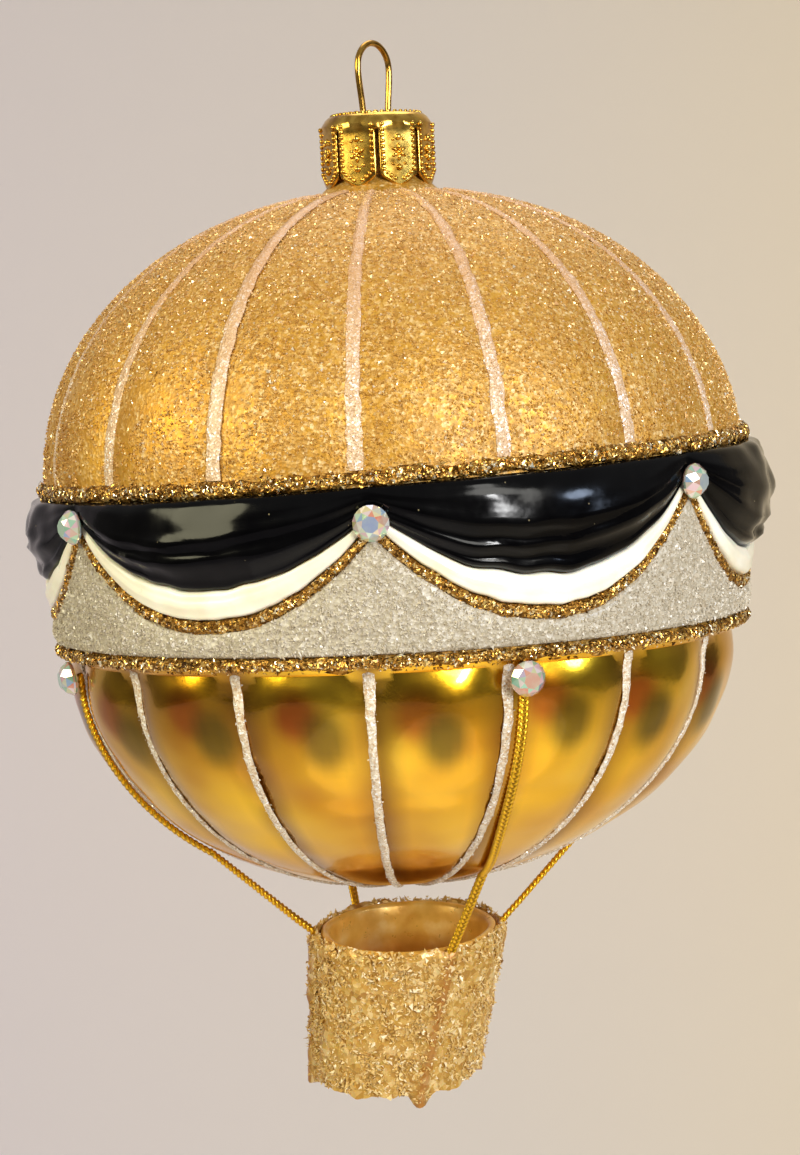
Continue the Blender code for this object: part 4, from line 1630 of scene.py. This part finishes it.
@dataclass
class Crystals:
    """Flat backed cut crystals on the swag junctions and over the cords."""

    diameter: float = 4.7
    table: float = 2.2
    height: float = 1.9
    lower_z: float = -84.9
    cords: tuple[tuple[str, float], ...] = (
        ("front", 18.8), ("right", 108.8), ("back", 198.8), ("left", 288.8))

    def build(self, name: str, azimuth: float, z: float, lift: float, seed: int) -> bpy.types.Object:
        """Cut one crystal and set it on the glass.

        Args:
            name: name of the piece.
            azimuth: degrees from the front.
            z: its height.
            lift: distance of its back from the glass along the normal.
            seed: picks the tones of its facets.

        Returns:
            The crystal.
        """
        builder = bmesh.new()
        girdle = self.diameter / 2
        rings = (
            (girdle * 0.96, 0.0, 16, 0.0), (girdle, 0.25, 16, 0.0), (girdle, 0.5, 16, 0.0),
            (girdle * 0.76, 1.35, 8, 22.5), (self.table / 2, self.height, 8, 0.0))
        for radius, level, count, turn in rings:
            bmesh.ops.create_circle(
                builder, cap_ends=False, segments=count, radius=radius * MM,
                matrix=Matrix.Translation((0, 0, level * MM)) @ Matrix.Rotation(math.radians(turn), 4, "Z"))
        bmesh.ops.delete(builder, geom=list(builder.edges), context="EDGES_FACES")
        bmesh.ops.convex_hull(builder, input=builder.verts)
        bmesh.ops.dissolve_limit(
            builder, angle_limit=math.radians(2.0), verts=builder.verts, edges=builder.edges)
        maker = np.random.default_rng(seed)
        spin = Matrix.Rotation(maker.uniform(0.0, math.tau), 4, "Z")
        normal = Vector(FORM.normal(np.float64(azimuth), np.float64(z)))
        seat = Vector(FORM.point(azimuth, z)) + normal * lift
        stand = normal.to_track_quat("Z", "Y").to_matrix().to_4x4()
        builder.transform(Matrix.Translation(seat * MM) @ stand @ spin)
        bmesh.ops.split_edges(builder, edges=builder.edges)
        mesh = bpy.data.meshes.new(name)
        bmesh.ops.recalc_face_normals(builder, faces=builder.faces)
        centre = seat + normal * self.height * 0.4
        for face in builder.faces:
            if (face.calc_center_median() / MM - centre).dot(face.normal) < 0.0:
                face.normal_flip()
        builder.to_mesh(mesh)
        builder.free()
        piece = link_piece(name, mesh)
        tones = np.zeros(len(mesh.vertices))
        for polygon in mesh.polygons:
            tones[list(polygon.vertices)] = maker.uniform()
        carry(piece, "tone", tones)
        return piece

    def assemble(self) -> None:
        """Set all crystals."""
        lift = SEAT_GAP * 2 + FORM.line_thick * 1.2
        for number, (azimuth, z) in enumerate(zip(FORM.junctions, FORM.junction_heights), start=1):
            stone = self.build(f"upper_stone_{number}", azimuth, z, lift, 100 + number)
            deliver(stone, FoiledCrystal(), "crystal", f"crystal_upper_{number}")
        lift = SEAT_GAP * 2 + FORM.line_thick + 0.5
        for number, (name, azimuth) in enumerate(self.cords, start=1):
            stone = self.build(f"lower_stone_{name}", azimuth, self.lower_z, lift, 110 + number)
            deliver(stone, FoiledCrystal(), "crystal", f"crystal_lower_{name}")


@dataclass
class Cap:
    """Stamped crown cap with eight pointed petals, beads and rosettes."""

    top_z: float = -9.7
    tip_z: float = -20.1
    radius: float = 8.0
    top_radius: float = 6.3
    chamfer: float = 1.5
    wall: float = 0.4
    petals: int = 8
    per_petal: int = 24
    slit_top_z: float = -12.2
    point: float = 1.9

    def across(self, azimuth: Array) -> Array:
        """Place across a petal: -1 and 1 at its slits."""
        return 2.0 * ((np.asarray(azimuth, float) / (360.0 / self.petals)) % 1.0) - 1.0

    def skirt_radius(self, azimuth: Array, z: Array) -> Array:
        """Radius of the skirt, whose petals are a little flattened.

        Args:
            azimuth: degrees from the front.
            z: heights in millimetres.

        Returns:
            Radii in millimetres.
        """
        v = self.across(azimuth)
        flat = 0.42 * (1.0 - v * v) * smooth((self.top_z - 0.8 - z) / 2.0)
        curl = 0.25 * smooth((self.tip_z + 2.5 - z) / 2.5) * np.abs(v) ** 3
        frame_line = 0.14 * np.exp(-(((np.abs(v) - 0.9) / 0.07) ** 2))
        return self.radius - flat - curl - frame_line

    def build(self) -> bpy.types.Object:
        """Spin, stamp and slit the cap.

        Returns:
            The cap.
        """
        top_rows = [(0.0, 0.0), (2.0, 0.0), (4.0, 0.0), (5.4, 0.02), (5.9, 0.0)]
        top_rows += [(self.top_radius, 0.02)]
        top_rows += [(6.75, -0.16), (7.15, -0.5), (7.5, -1.0), (7.8, -1.5)]
        steps = 22
        mid = self.top_z - self.chamfer - 0.3
        rows = len(top_rows) + steps
        columns = self.petals * self.per_petal
        builder = spun_rows(rows, columns, closed=False)
        flat = np.array(top_rows)

        def place(row: Array, azimuth: Array) -> Array:
            """Lid rows first, then the skirt down to its pointed petals.

            Args:
                row: row numbers.
                azimuth: degrees from the front.

            Returns:
                Places in millimetres.
            """
            lid = row < len(top_rows)
            share = np.clip((row - len(top_rows) + 1) / steps, 0.0, 1.0)
            v = np.abs(self.across(azimuth))
            end = self.tip_z + self.point * 0.95 * v**1.25 + 0.5 * smooth((v - 0.85) / 0.15)
            z = mid + (end - mid) * share
            radius = self.skirt_radius(azimuth, z)
            safe = np.minimum(row, len(top_rows) - 1)
            z = np.where(lid, self.top_z + flat[safe, 1], z)
            radius = np.where(lid, flat[safe, 0], radius)
            spot = unit(azimuth) * radius[:, None]
            spot[:, 2] = z
            return spot

        gap = 360.0 / columns
        for face in list(builder.faces):
            centre = face.calc_center_median()
            azimuth = math.degrees(math.atan2(centre.x, -centre.y)) % (360.0 / self.petals)
            row = math.hypot(centre.x, centre.y) / MM - 1000.0
            beside = min(azimuth, 360.0 / self.petals - azimuth) < gap
            if beside and row > len(top_rows) + 1.2:
                builder.faces.remove(face)
        loose = [edge for edge in builder.edges if not edge.link_faces]
        bmesh.ops.delete(builder, geom=loose, context="EDGES")
        place_spun(builder, place)
        cap = make_piece("crown_cap", builder, 38.0)
        wall = cap.modifiers.new("wall", "SOLIDIFY")
        wall.thickness = self.wall * MM
        wall.offset = -1.0
        wall.use_even_offset = True
        return cap

    def on_skirt(self, azimuth: Array, z: Array) -> tuple[Array, Array]:
        """Places and normals on the skirt.

        Args:
            azimuth: degrees from the front.
            z: heights in millimetres.

        Returns:
            Places in millimetres and unit normals.
        """
        spot = unit(azimuth) * self.skirt_radius(azimuth, z)[:, None]
        spot[:, 2] = z
        return spot, unit(azimuth)

    def beads(self) -> bpy.types.Object:
        """Rows of beads along the edges of each petal.

        Returns:
            The beads.
        """
        spots, ways, sizes = [], [], []
        pitch = 360.0 / self.petals
        side_beads = 9
        for petal in range(self.petals):
            middle = pitch * (petal + 0.5)
            down = np.linspace(self.slit_top_z + 0.7, self.tip_z + self.point + 0.5, side_beads)
            for side in (-1, 1):
                place, normal = self.on_skirt(np.full(side_beads, middle + side * pitch * 0.375), down)
                spots.append(place)
                ways.append(normal)
                sizes.append(np.full(side_beads, 0.36))
                low = middle + side * pitch / 2 * np.array([0.6, 0.42, 0.22])
                low_z = self.tip_z + 0.75 + self.point * np.array([0.62, 0.4, 0.2])
                place, normal = self.on_skirt(low, low_z)
                spots.append(place)
                ways.append(normal)
                sizes.append(np.full(3, 0.33))
        scale = np.concatenate(sizes)[:, None] * np.array([1.0, 1.0, 0.9])
        turns = np.zeros(len(scale))
        return Scatter(BEAD, 12, 0.0).build(
            "cap_beads", np.vstack(spots), np.vstack(ways), scale, flat=False, turns=turns)

    def rope(self) -> bpy.types.Object:
        """Slanted dashes round the edge of the lid, like a twisted rope.

        Returns:
            The rope.
        """
        dashes = 42
        around = np.arange(dashes) * 360.0 / dashes
        spots = unit(around) * 6.15
        spots[:, 2] = self.top_z + 0.03
        ways = np.tile((0.0, 0.0, 1.0), (dashes, 1))
        scale = np.tile((0.5, 0.25, 0.28), (dashes, 1))
        return Scatter(BEAD, 14, 0.0).build(
            "cap_rope", spots, ways, scale, flat=False, turns=np.radians(around + 32.0))

    def rosettes(self) -> bpy.types.Object:
        """A six petalled flower with bosses above and below it on each petal of the cap.

        Returns:
            The flowers.
        """
        pitch = 360.0 / self.petals
        spots, ways, sizes, turns = [], [], [], []
        petal_turn = np.radians(np.arange(6) * 60.0 + 30.0)
        for petal in range(self.petals):
            out = np.concatenate([0.68 * np.cos(petal_turn), [0.0, 0.0, 0.0, -0.95, 0.95, -0.8, 0.8]])
            up = np.concatenate([0.68 * np.sin(petal_turn), [0.0, 2.05, -2.1, -1.6, -1.6, 1.75, 1.75]])
            azimuth = pitch * (petal + 0.5) + np.degrees(out / self.radius)
            place, normal = self.on_skirt(azimuth, -15.4 + up)
            spots.append(place)
            ways.append(normal)
            sizes += [(0.6, 0.27, 0.42)] * 6 + [(0.34, 0.34, 0.5)]
            sizes += [(0.5, 0.5, 0.44)] * 2 + [(0.26, 0.26, 0.3)] * 4
            turns.append(np.concatenate([petal_turn, np.zeros(7)]))
        return Scatter(BEAD, 13, 0.0).build(
            "cap_rosettes", np.vstack(spots), np.vstack(ways), np.array(sizes),
            flat=False, turns=np.concatenate(turns))

    def assemble(self) -> None:
        """Build the cap and its stamped relief."""
        deliver(self.build(), StampedBrass(), "brass", "metal_cap", body=Body.HANGER)
        for relief in (self.beads(), self.rope(), self.rosettes()):
            deliver(relief, StampedBrass(), "brass", body=Body.HANGER)


def swept_tube(name: str, routes: Sequence[Array], radius: float, sides: int) -> bpy.types.Object:
    """Round wires or strands along routes, made by a bevelled curve.

    Args:
        name: name of the piece.
        routes: points of each route in millimetres.
        radius: radius in millimetres.
        sides: an even number of sides.

    Returns:
        The mesh piece, with UVs along each route.
    """
    curve = bpy.data.curves.new(name, "CURVE")
    curve.dimensions = "3D"
    curve.bevel_depth = radius * MM
    curve.bevel_resolution = max(sides // 2 - 2, 0)
    curve.use_fill_caps = True
    for route in routes:
        spline = curve.splines.new("POLY")
        spline.points.add(len(route) - 1)
        flat = np.concatenate([route * MM, np.ones((len(route), 1))], axis=1)
        spline.points.foreach_set("co", flat.astype(np.float32).ravel())
    holder = bpy.data.objects.new(name + "_route", curve)
    bpy.context.scene.collection.objects.link(holder)
    bpy.context.view_layer.update()
    solid = holder.evaluated_get(bpy.context.evaluated_depsgraph_get())
    mesh = bpy.data.meshes.new_from_object(solid)
    bpy.data.objects.remove(holder, do_unlink=True)
    bpy.data.curves.remove(curve)
    mesh.name = name
    builder = bmesh.new()
    builder.from_mesh(mesh)
    bmesh.ops.remove_doubles(builder, verts=builder.verts, dist=1e-7)
    bmesh.ops.recalc_face_normals(builder, faces=builder.faces)
    builder.to_mesh(mesh)
    builder.free()
    mesh.shade_smooth()
    mesh.materials.clear()
    return link_piece(name, mesh)


@dataclass
class Hanger:
    """Brass wire loop whose spring legs reach down into the neck."""

    wire: float = 0.9
    loop_half: float = 4.0
    leg_half: float = 2.85
    spread: float = 4.2
    end_z: float = -30.0
    cap_z: float = -9.7
    turn: float = 55.0

    def route(self) -> Array:
        """Points along the wire.

        Returns:
            The route in millimetres.
        """
        arch_z = self.wire / 2 - self.loop_half
        right = [(self.spread, self.end_z), (self.spread - 0.5, -24.0), (self.leg_half + 0.3, -14.0)]
        right += [(self.leg_half, self.cap_z - 1.5), (self.leg_half, self.cap_z + 1.0)]
        right += [(self.leg_half + 0.5, self.cap_z + 2.4)]
        angles = np.radians(np.arange(0, 181, 15))
        arch = [(self.loop_half * math.cos(a), arch_z + self.loop_half * math.sin(a)) for a in angles]
        left = [(-x, z) for x, z in reversed(right)]
        flat = np.array(right + arch + left)
        angle = math.radians(self.turn)
        return np.stack([flat[:, 0] * math.cos(angle), flat[:, 0] * math.sin(angle), flat[:, 1]], axis=1)

    def assemble(self) -> None:
        """Build the wire."""
        line = catmull(self.route(), 6)
        for _ in range(70):
            line[1:-1] = line[1:-1] / 2 + (line[:-2] + line[2:]) / 4
        wire = swept_tube("hanging_wire", [line], self.wire / 2, 14)
        finish = StampedBrass("brass_wire", "#cfa04a", "#99702a")
        deliver(wire, finish, "brass", "wire_hanger", body=Body.HANGER)


@dataclass(frozen=True)
class Cord:
    """One cord: azimuths in degrees, heights and lengths in millimetres."""

    name: str
    start: float
    wander: float
    leave_z: float
    rim: float
    foot: float
    end: float

    def around(self, share: Array) -> Array:
        """Azimuth on the basket at a share of its depth."""
        return self.rim + (self.foot - self.rim) * share


@dataclass
class Basket:
    """Blown glass basket, its crust of crushed glass, and the four cords that carry it."""

    rim_centre: tuple[float, float, float] = (-1.4, 0.0, -124.7)
    height: float = 20.2
    tilt: float = 6.7
    shear: float = 2.75
    rim_radius: float = 12.6
    foot_radius: float = 10.7
    wall: float = 1.2
    coat: float = 0.8
    cord: float = 1.0
    strand: float = 0.31
    braid_half: float = 0.4
    braid_rise: float = 0.17
    braid_pitch: float = 2.5
    cord_top_z: float = -84.6
    shard_count: int = 16000
    cords: tuple[Cord, ...] = (
        Cord("front", 18.8, 18.0, -113.5, 26.0, 17.0, 2.2),
        Cord("right", 108.8, 8.0, -109.0, 93.0, 93.0, 0.9),
        Cord("back", 198.8, 8.0, -110.0, 214.0, 214.0, 0.9),
        Cord("left", 288.8, 8.0, -110.5, 270.0, 270.0, 1.2))

    def stand(self, local: Array, turn_only: bool = False) -> Array:
        """Move places from the upright basket into the hung, tilted one.

        Args:
            local: places around the rim's centre, in millimetres.
            turn_only: leave out the move, as for directions.

        Returns:
            The places on the ornament.
        """
        angle = math.radians(self.tilt)
        x = local[..., 0] + self.shear / self.height * local[..., 2]
        y = local[..., 1] * math.cos(angle) - local[..., 2] * math.sin(angle)
        z = local[..., 1] * math.sin(angle) + local[..., 2] * math.cos(angle)
        moved = np.stack([x, y, z], axis=-1)
        return moved if turn_only else moved + np.array(self.rim_centre)

    def side(self, depth: Array) -> Array:
        """Outer radius of the cup at a depth below its rim."""
        return self.rim_radius + (self.foot_radius - self.rim_radius) * depth / self.height

    def bulge(self, azimuth: Array, depth: Array) -> Array:
        """How much the crust stands out where a cord runs under it.

        Args:
            azimuth: degrees from the front.
            depth: depths below the rim in millimetres.

        Returns:
            Shares from 0 to 1.
        """
        total = np.zeros_like(np.asarray(azimuth, float))
        for cord in self.cords:
            away = wrapped(azimuth - cord.around(depth / self.height))
            total = np.maximum(total, np.exp(-((away / 4.6) ** 2)))
        return total

    def tail(self, azimuth: Array) -> Array:
        """How far the crust hangs down with the cord ends, in millimetres."""
        away = [wrapped(azimuth - cord.foot) for cord in self.cords]
        return sum(cord.end * np.exp(-((gap / 8.0) ** 4)) for cord, gap in zip(self.cords, away))

    def cup(self) -> bpy.types.Object:
        """Spin the cup with a rounded rim.

        Returns:
            The cup.
        """
        inner = self.rim_radius - self.wall
        foot = self.foot_radius
        profile = [(self.side(d), -d) for d in np.linspace(0.6, self.height - 1.2, 12)]
        profile += [(foot - 0.3, -self.height + 0.35), (foot - 1.2, -self.height), (foot / 2, -self.height)]
        floor = -self.height + self.wall
        profile += [(0.0, -self.height), (0.0, floor), (foot / 2, floor)]
        profile += [(foot - 3.0, floor), (foot - 1.8, floor + 0.7)]
        profile += [(self.side(d) - self.wall, -d) for d in np.linspace(self.height - 3.0, 0.6, 12)]
        profile += [(inner + 0.15, -0.2), (inner + 0.6, 0.0), (self.rim_radius - 0.15, -0.2)]
        rows = np.array(profile)
        builder = spun_rows(len(rows), 112, closed=True)

        def place(row: Array, azimuth: Array) -> Array:
            """Turned profile with a slightly uneven wall.

            Args:
                row: row numbers.
                azimuth: degrees from the front.

            Returns:
                Places in millimetres.
            """
            spot = unit(azimuth) * rows[row, 0:1]
            spot[:, 2] = rows[row, 1]
            spot += unit(azimuth) * (0.1 * rough_noise(spot, 6.0, 61) * (rows[row, 0] > 1.0))[:, None]
            return self.stand(spot)

        place_spun(builder, place)
        cup = make_piece("glass_basket", builder, 50.0)
        # Depth inside the cup, which the lacquer turns into painted shade.
        carry(cup, "deep", smooth((-self.upright(mesh_points(cup))[:, 2] - 2.0) / 5.0))
        return cup

    def upright(self, spots: Array) -> Array:
        """Move places from the hung basket back into the upright one; the inverse of stand.

        Args:
            spots: places on the ornament in millimetres.

        Returns:
            Places around the rim's centre.
        """
        angle = math.radians(self.tilt)
        x, y, z = (spots - np.array(self.rim_centre)).T
        level = -y * math.sin(angle) + z * math.cos(angle)
        depth = y * math.cos(angle) + z * math.sin(angle)
        return np.stack([x - self.shear / self.height * level, depth, level], axis=1)

    def crust_point(self, azimuth: Array, depth: Array, lift: Array) -> Array:
        """Place on the crust of the upright basket.

        Args:
            azimuth: degrees from the front.
            depth: depths below the rim in millimetres.
            lift: distance above the crust's seat.

        Returns:
            Places around the rim's centre.
        """
        spot = unit(azimuth) * (self.side(depth) + SEAT_GAP + lift)[..., None]
        spot[..., 2] = -depth
        return spot

    def crust(self) -> bpy.types.Object:
        """Lumpy coat of crushed glass, thicker over the cords.

        Returns:
            The coat.
        """
        downs = np.linspace(0.3, self.height, 34)
        out = [(self.side(d) + SEAT_GAP, d, 1) for d in downs]
        out += [(r, self.height, 2) for r in (10.0, 7.5, 5.0, 2.5, 0.0)]
        out += [(r, self.height, 0) for r in (0.0, 4.0, 8.0)]
        out += [(self.side(d) + SEAT_GAP, d, 0) for d in np.linspace(self.height, 0.5, 8)]
        rows = np.array(out)
        builder = spun_rows(len(rows), 180, closed=True)

        def place(row: Array, azimuth: Array) -> Array:
            """Outer rows carry the lumps, inner rows lie against the cup.

            Args:
                row: row numbers.
                azimuth: degrees from the front.

            Returns:
                Places in millimetres.
            """
            radius, depth, kind = rows[row].T
            probe = unit(azimuth) * radius[:, None]
            probe[:, 2] = -depth
            lumps = 0.24 * rough_noise(probe, 3.4, 62) + 0.11 * rough_noise(probe, 1.3, 63)
            thick = np.maximum(self.coat + lumps + 0.75 * self.bulge(azimuth, depth) * (kind == 1), 0.25)
            rim = smooth((depth - 0.1) / 1.0)
            ragged = 0.5 * rough_noise(unit(azimuth) * 12.0, 3.0, 64) * (1.0 - smooth(depth / 3.0))
            radial = np.where(kind == 1, thick * (0.3 + 0.7 * rim), 0.0)
            spot = unit(azimuth) * (radius + radial)[:, None]
            corner = (kind == 1) & (depth > self.height - 0.4)
            under = np.where(kind == 2, thick, np.where(corner, thick * 0.6, 0.0))
            spot[:, 2] = -(depth + ragged * (kind < 2)) - under
            spot[:, 2] -= np.where(depth >= self.height - 1e-6, SEAT_GAP, 0.0)
            low = smooth((depth - self.height + 3.0) / 3.0) * smooth(radius / 10.0 - 0.2) * (kind > 0)
            wave = 0.35 * rough_noise(unit(azimuth) * 12.0, 3.6, 65)
            spot[:, 2] -= low * (0.3 + wave + 0.62 * self.tail(azimuth))
            return self.stand(spot)

        place_spun(builder, place)
        crust = make_piece("basket_crust", builder, 70.0)
        flat = self.upright(mesh_points(crust))
        carry(crust, "ridge", self.bulge(np.degrees(np.arctan2(flat[:, 0], -flat[:, 1])), -flat[:, 2]))
        return crust

    def shards(self) -> bpy.types.Object:
        """Splinters of glass that stand out of the crust.

        Returns:
            The splinters.
        """
        count = self.shard_count
        scatter = Scatter(SPLINTER, 66, 3.0)
        maker = scatter.maker
        azimuth = maker.uniform(0.0, 360.0, count)
        depth = maker.uniform(-0.3, self.height + 0.8 + 0.7 * self.tail(azimuth))
        kept = maker.uniform(size=count) > 0.45 * self.bulge(azimuth, depth)
        azimuth, depth = azimuth[kept], depth[kept]
        count = len(azimuth)
        lift = self.coat + 0.75 * self.bulge(azimuth, depth) + maker.uniform(-0.2, 0.25, count)
        lift *= 0.35 + 0.65 * smooth((depth + 0.1) / 1.0)
        spots = self.crust_point(azimuth, depth, lift)
        normals = unit(azimuth)
        floor = maker.uniform(size=count) < 0.18
        radius = np.sqrt(maker.uniform(0.0, 1.0, count)) * 11.6
        spots[floor] = (unit(azimuth) * radius[:, None])[floor]
        spots[floor, 2] = -self.height - SEAT_GAP - self.coat + maker.uniform(-0.15, 0.2, floor.sum())
        normals[floor] = (0.0, 0.0, -1.0)
        thin = (maker.uniform(size=count) < 0.4)[:, None]
        shape = np.where(thin, (0.13, 0.08, 0.6), (0.4, 0.28, 0.2))
        scale = maker.lognormal(0.0, 0.3, count)[:, None] * shape
        spots = self.stand(spots)
        normals = self.stand(normals, turn_only=True)
        normals /= np.linalg.norm(normals, axis=1, keepdims=True)
        return scatter.build("basket_shards", spots, normals, scale, (0.8, 1.3))

    def route(self, cord: Cord) -> Array:
        """Route of a cord: glued down the glass, straight to the rim, and down the basket's side.

        Args:
            cord: the cord.

        Returns:
            Points in millimetres.
        """
        ease = np.sin(math.pi / 2 * np.linspace(0.0, 1.0, 23))
        z = self.cord_top_z + (cord.leave_z - self.cord_top_z) * ease
        drop = (self.cord_top_z - z) / (self.cord_top_z - FORM.tip_z)
        strayed = cord.start + cord.wander * drop**6
        glued = FORM.point(strayed, z) + FORM.normal(strayed, z) * (SEAT_GAP + self.cord / 2)
        depths = np.array([0.4, 2.0, 5.0, 9.0, 13.0, 17.0, self.height + cord.end])
        around = cord.around(depths / self.height)
        on_cup = self.stand(self.crust_point(around, depths, np.full(len(depths), self.cord / 2)))
        free = [glued[-1] + (on_cup[0] - glued[-1]) * share for share in (0.2, 0.4, 0.6, 0.8)]
        return np.vstack([glued, free, on_cup])

    def braid(self, name: str, route: Array) -> bpy.types.Object:
        """Three strands, braided flat along a route.

        Args:
            name: name of the piece.
            route: its middle line.

        Returns:
            The braided cord.
        """
        line = catmull(route, 8)
        along = np.concatenate([[0.0], np.cumsum(np.linalg.norm(np.diff(line, axis=0), axis=1))])
        even = np.arange(0.0, along[-1], 0.2)
        line = np.stack([np.interp(even, along, line[:, axis]) for axis in range(3)], axis=1)
        way = np.gradient(line, axis=0)
        way /= np.linalg.norm(way, axis=1, keepdims=True)
        side = np.cross(way, line * (1.0, 1.0, 0.0))
        side /= np.linalg.norm(side, axis=1, keepdims=True)
        up = np.cross(way, side)
        strands = []
        for number in range(3):
            angle = math.tau * (even / self.braid_pitch + number / 3.0)
            across, rise = self.braid_half * np.sin(angle), self.braid_rise * np.sin(2.0 * angle)
            strands.append(line + across[:, None] * side + rise[:, None] * up)
        cord = swept_tube(name, strands, self.strand, 8)
        tree = KDTree(len(line))
        for number, spot in enumerate(line):
            tree.insert(spot, number)
        tree.balance()
        # Distance from the cord's middle line, which the finish turns into painted shade between the strands.
        away = np.array([tree.find(spot)[2] for spot in mesh_points(cord)])
        carry(cord, "deep", np.clip((away - 0.15) / 0.5, 0.0, 1.0))
        return cord

    def assemble(self) -> None:
        """Build the basket, its crust and its cords."""
        deliver(self.cup(), BasketLacquer(), "basket_glass", "basket_cup")
        deliver(self.crust(), BasketCrust(), "basket_glitter", "basket_coat")
        deliver(self.shards(), BASKET_SHARDS, "basket_glitter")
        for cord in self.cords:
            braid = self.braid(f"braided_cord_{cord.name}", self.route(cord))
            deliver(braid, GoldLame(), "gold_cord", f"cord_{cord.name}")


@dataclass(frozen=True)
class Lamp:
    """Soft round lamp: its place in degrees and metres, its width, its power in watts and its colour."""

    name: str
    azimuth: float
    elevation: float
    away: float
    size: float
    power: float
    tint: str


@dataclass
class Studio:
    """Camera, paper sweep and soft lights."""

    target: tuple[float, float, float] = (0.0, 0.0, -0.0748)
    distance: float = 0.43
    elevation: float = 4.2
    roll: float = 3.0
    lens: float = 94.5
    floor_z: float = -0.8
    front_y: float = -2.2
    wall_y: float = 1.25
    cove: float = 0.5
    wall_height: float = 1.9
    half_width: float = 2.4
    air_strength: float = 0.36
    lamps: tuple[Lamp, ...] = (
        Lamp("window_lamp", 26.0, 25.0, 0.8, 0.38, 3.7, "#fffdf6"),
        Lamp("cool_lamp", 58.0, 16.0, 0.8, 0.16, 1.8, "#cfe2ff"),
        Lamp("warm_lamp", -62.0, 24.0, 0.8, 0.45, 5.0, "#fdf6cc"),
        Lamp("top_lamp", 170.0, 62.0, 0.8, 0.6, 2.1, "#fff8f0"),
        Lamp("low_window_lamp", 26.0, 9.0, 0.8, 0.11, 2.2, "#ffffff"),
        Lamp("bounce_lamp", 10.0, -58.0, 0.6, 0.75, 0.5, "#f8f2ea"))

    def camera(self) -> None:
        """Stand the camera where the photographer held theirs."""
        level = math.radians(self.elevation)
        roll = math.radians(self.roll)
        forward = Vector((0.0, math.cos(level), -math.sin(level)))
        right = Vector((1.0, 0.0, 0.0))
        up = right.cross(forward)
        turned_right = right * math.cos(roll) - up * math.sin(roll)
        turned_up = right * math.sin(roll) + up * math.cos(roll)
        data = bpy.data.cameras.new("camera")
        data.lens = self.lens
        data.sensor_width = 36.0
        data.clip_start = 0.01
        holder = bpy.data.objects.new("camera", data)
        bpy.context.scene.collection.objects.link(holder)
        turn = Matrix((turned_right, turned_up, -forward)).transposed()
        place = Vector(self.target) - forward * self.distance
        holder.matrix_world = Matrix.Translation(place) @ turn.to_4x4()
        bpy.context.scene.camera = holder

    def sweep(self) -> None:
        """Paper that runs from the floor up into the backdrop."""
        builder = bmesh.new()
        bmesh.ops.create_grid(builder, x_segments=20, y_segments=90, size=1.0)
        quarter = self.cove * math.pi / 2
        floor = self.wall_y - self.cove - self.front_y
        for vert in builder.verts:
            along = (vert.co.y + 1.0) / 2.0 * (floor + quarter + self.wall_height)
            if along < floor:
                y, z = self.front_y + along, 0.0
            elif along < floor + quarter:
                angle = (along - floor) / self.cove
                y = self.wall_y - self.cove + self.cove * math.sin(angle)
                z = self.cove - self.cove * math.cos(angle)
            else:
                y, z = self.wall_y, self.cove + along - floor - quarter
            vert.co = (vert.co.x * self.half_width, y, z + self.floor_z)
        mesh = bpy.data.meshes.new("paper_sweep")
        builder.to_mesh(mesh)
        builder.free()
        mesh.shade_smooth()
        paper = link_piece("paper_sweep", mesh)
        mesh.materials.append(PalePaper().material())

    def light(self, lamp: Lamp) -> None:
        """Set up one lamp, faced to the ornament and hidden from the camera.

        Args:
            lamp: the lamp.
        """
        data = bpy.data.lights.new(lamp.name, "AREA")
        data.shape = "DISK"
        data.size = lamp.size
        data.energy = lamp.power
        data.color = srgb(lamp.tint)[:3]
        holder = bpy.data.objects.new(lamp.name, data)
        holder.visible_camera = False
        bpy.context.scene.collection.objects.link(holder)
        level = math.radians(lamp.elevation)
        out = unit(lamp.azimuth) * math.cos(level) + np.array([0.0, 0.0, math.sin(level)])
        place = Vector(self.target) + Vector(out) * lamp.away
        aim = Vector(self.target) - place
        holder.matrix_world = Matrix.Translation(place) @ aim.to_track_quat("-Z", "Y").to_matrix().to_4x4()

    def air(self) -> None:
        """Soft light from the room, brighter above."""
        world = bpy.data.worlds.new("studio_air")
        world.use_nodes = True
        bpy.context.scene.world = world
        tree = world.node_tree
        back = tree.nodes["Background"]
        way = tree.nodes.new("ShaderNodeTexCoord")
        split = tree.nodes.new("ShaderNodeSeparateXYZ")
        ramp = tree.nodes.new("ShaderNodeValToRGB")
        fit = tree.nodes.new("ShaderNodeMapRange")
        fit.inputs["From Min"].default_value = -1.0
        tree.links.new(way.outputs["Generated"], split.inputs[0])
        tree.links.new(split.outputs["Z"], fit.inputs["Value"])
        tree.links.new(fit.outputs["Result"], ramp.inputs["Fac"])
        strip = ramp.color_ramp.elements
        strip[0].color = srgb("#8f8984")
        strip[1].color = srgb("#f4f1ee")
        for spot, code in ((0.5, "#8f8984"), (0.58, "#aaa49f"), (0.68, "#f0ede9")):
            strip.new(spot).color = srgb(code)
        tree.links.new(ramp.outputs["Color"], back.inputs["Color"])
        back.inputs["Strength"].default_value = self.air_strength

    def assemble(self) -> None:
        """Set up the whole studio."""
        self.camera()
        self.sweep()
        for lamp in self.lamps:
            self.light(lamp)
        self.air()
        bpy.context.scene.view_settings.view_transform = "Standard"


def main() -> None:
    """Build the ornament from its cap down to its basket, then the studio."""
    logging.basicConfig(level=logging.INFO, format="%(name)s %(message)s")
    Envelope().assemble()
    Stripes().assemble()
    Drapes().assemble()
    Crystals().assemble()
    Cap().assemble()
    Hanger().assemble()
    Basket().assemble()
    Studio().assemble()


if __name__ == "__main__":
    main()
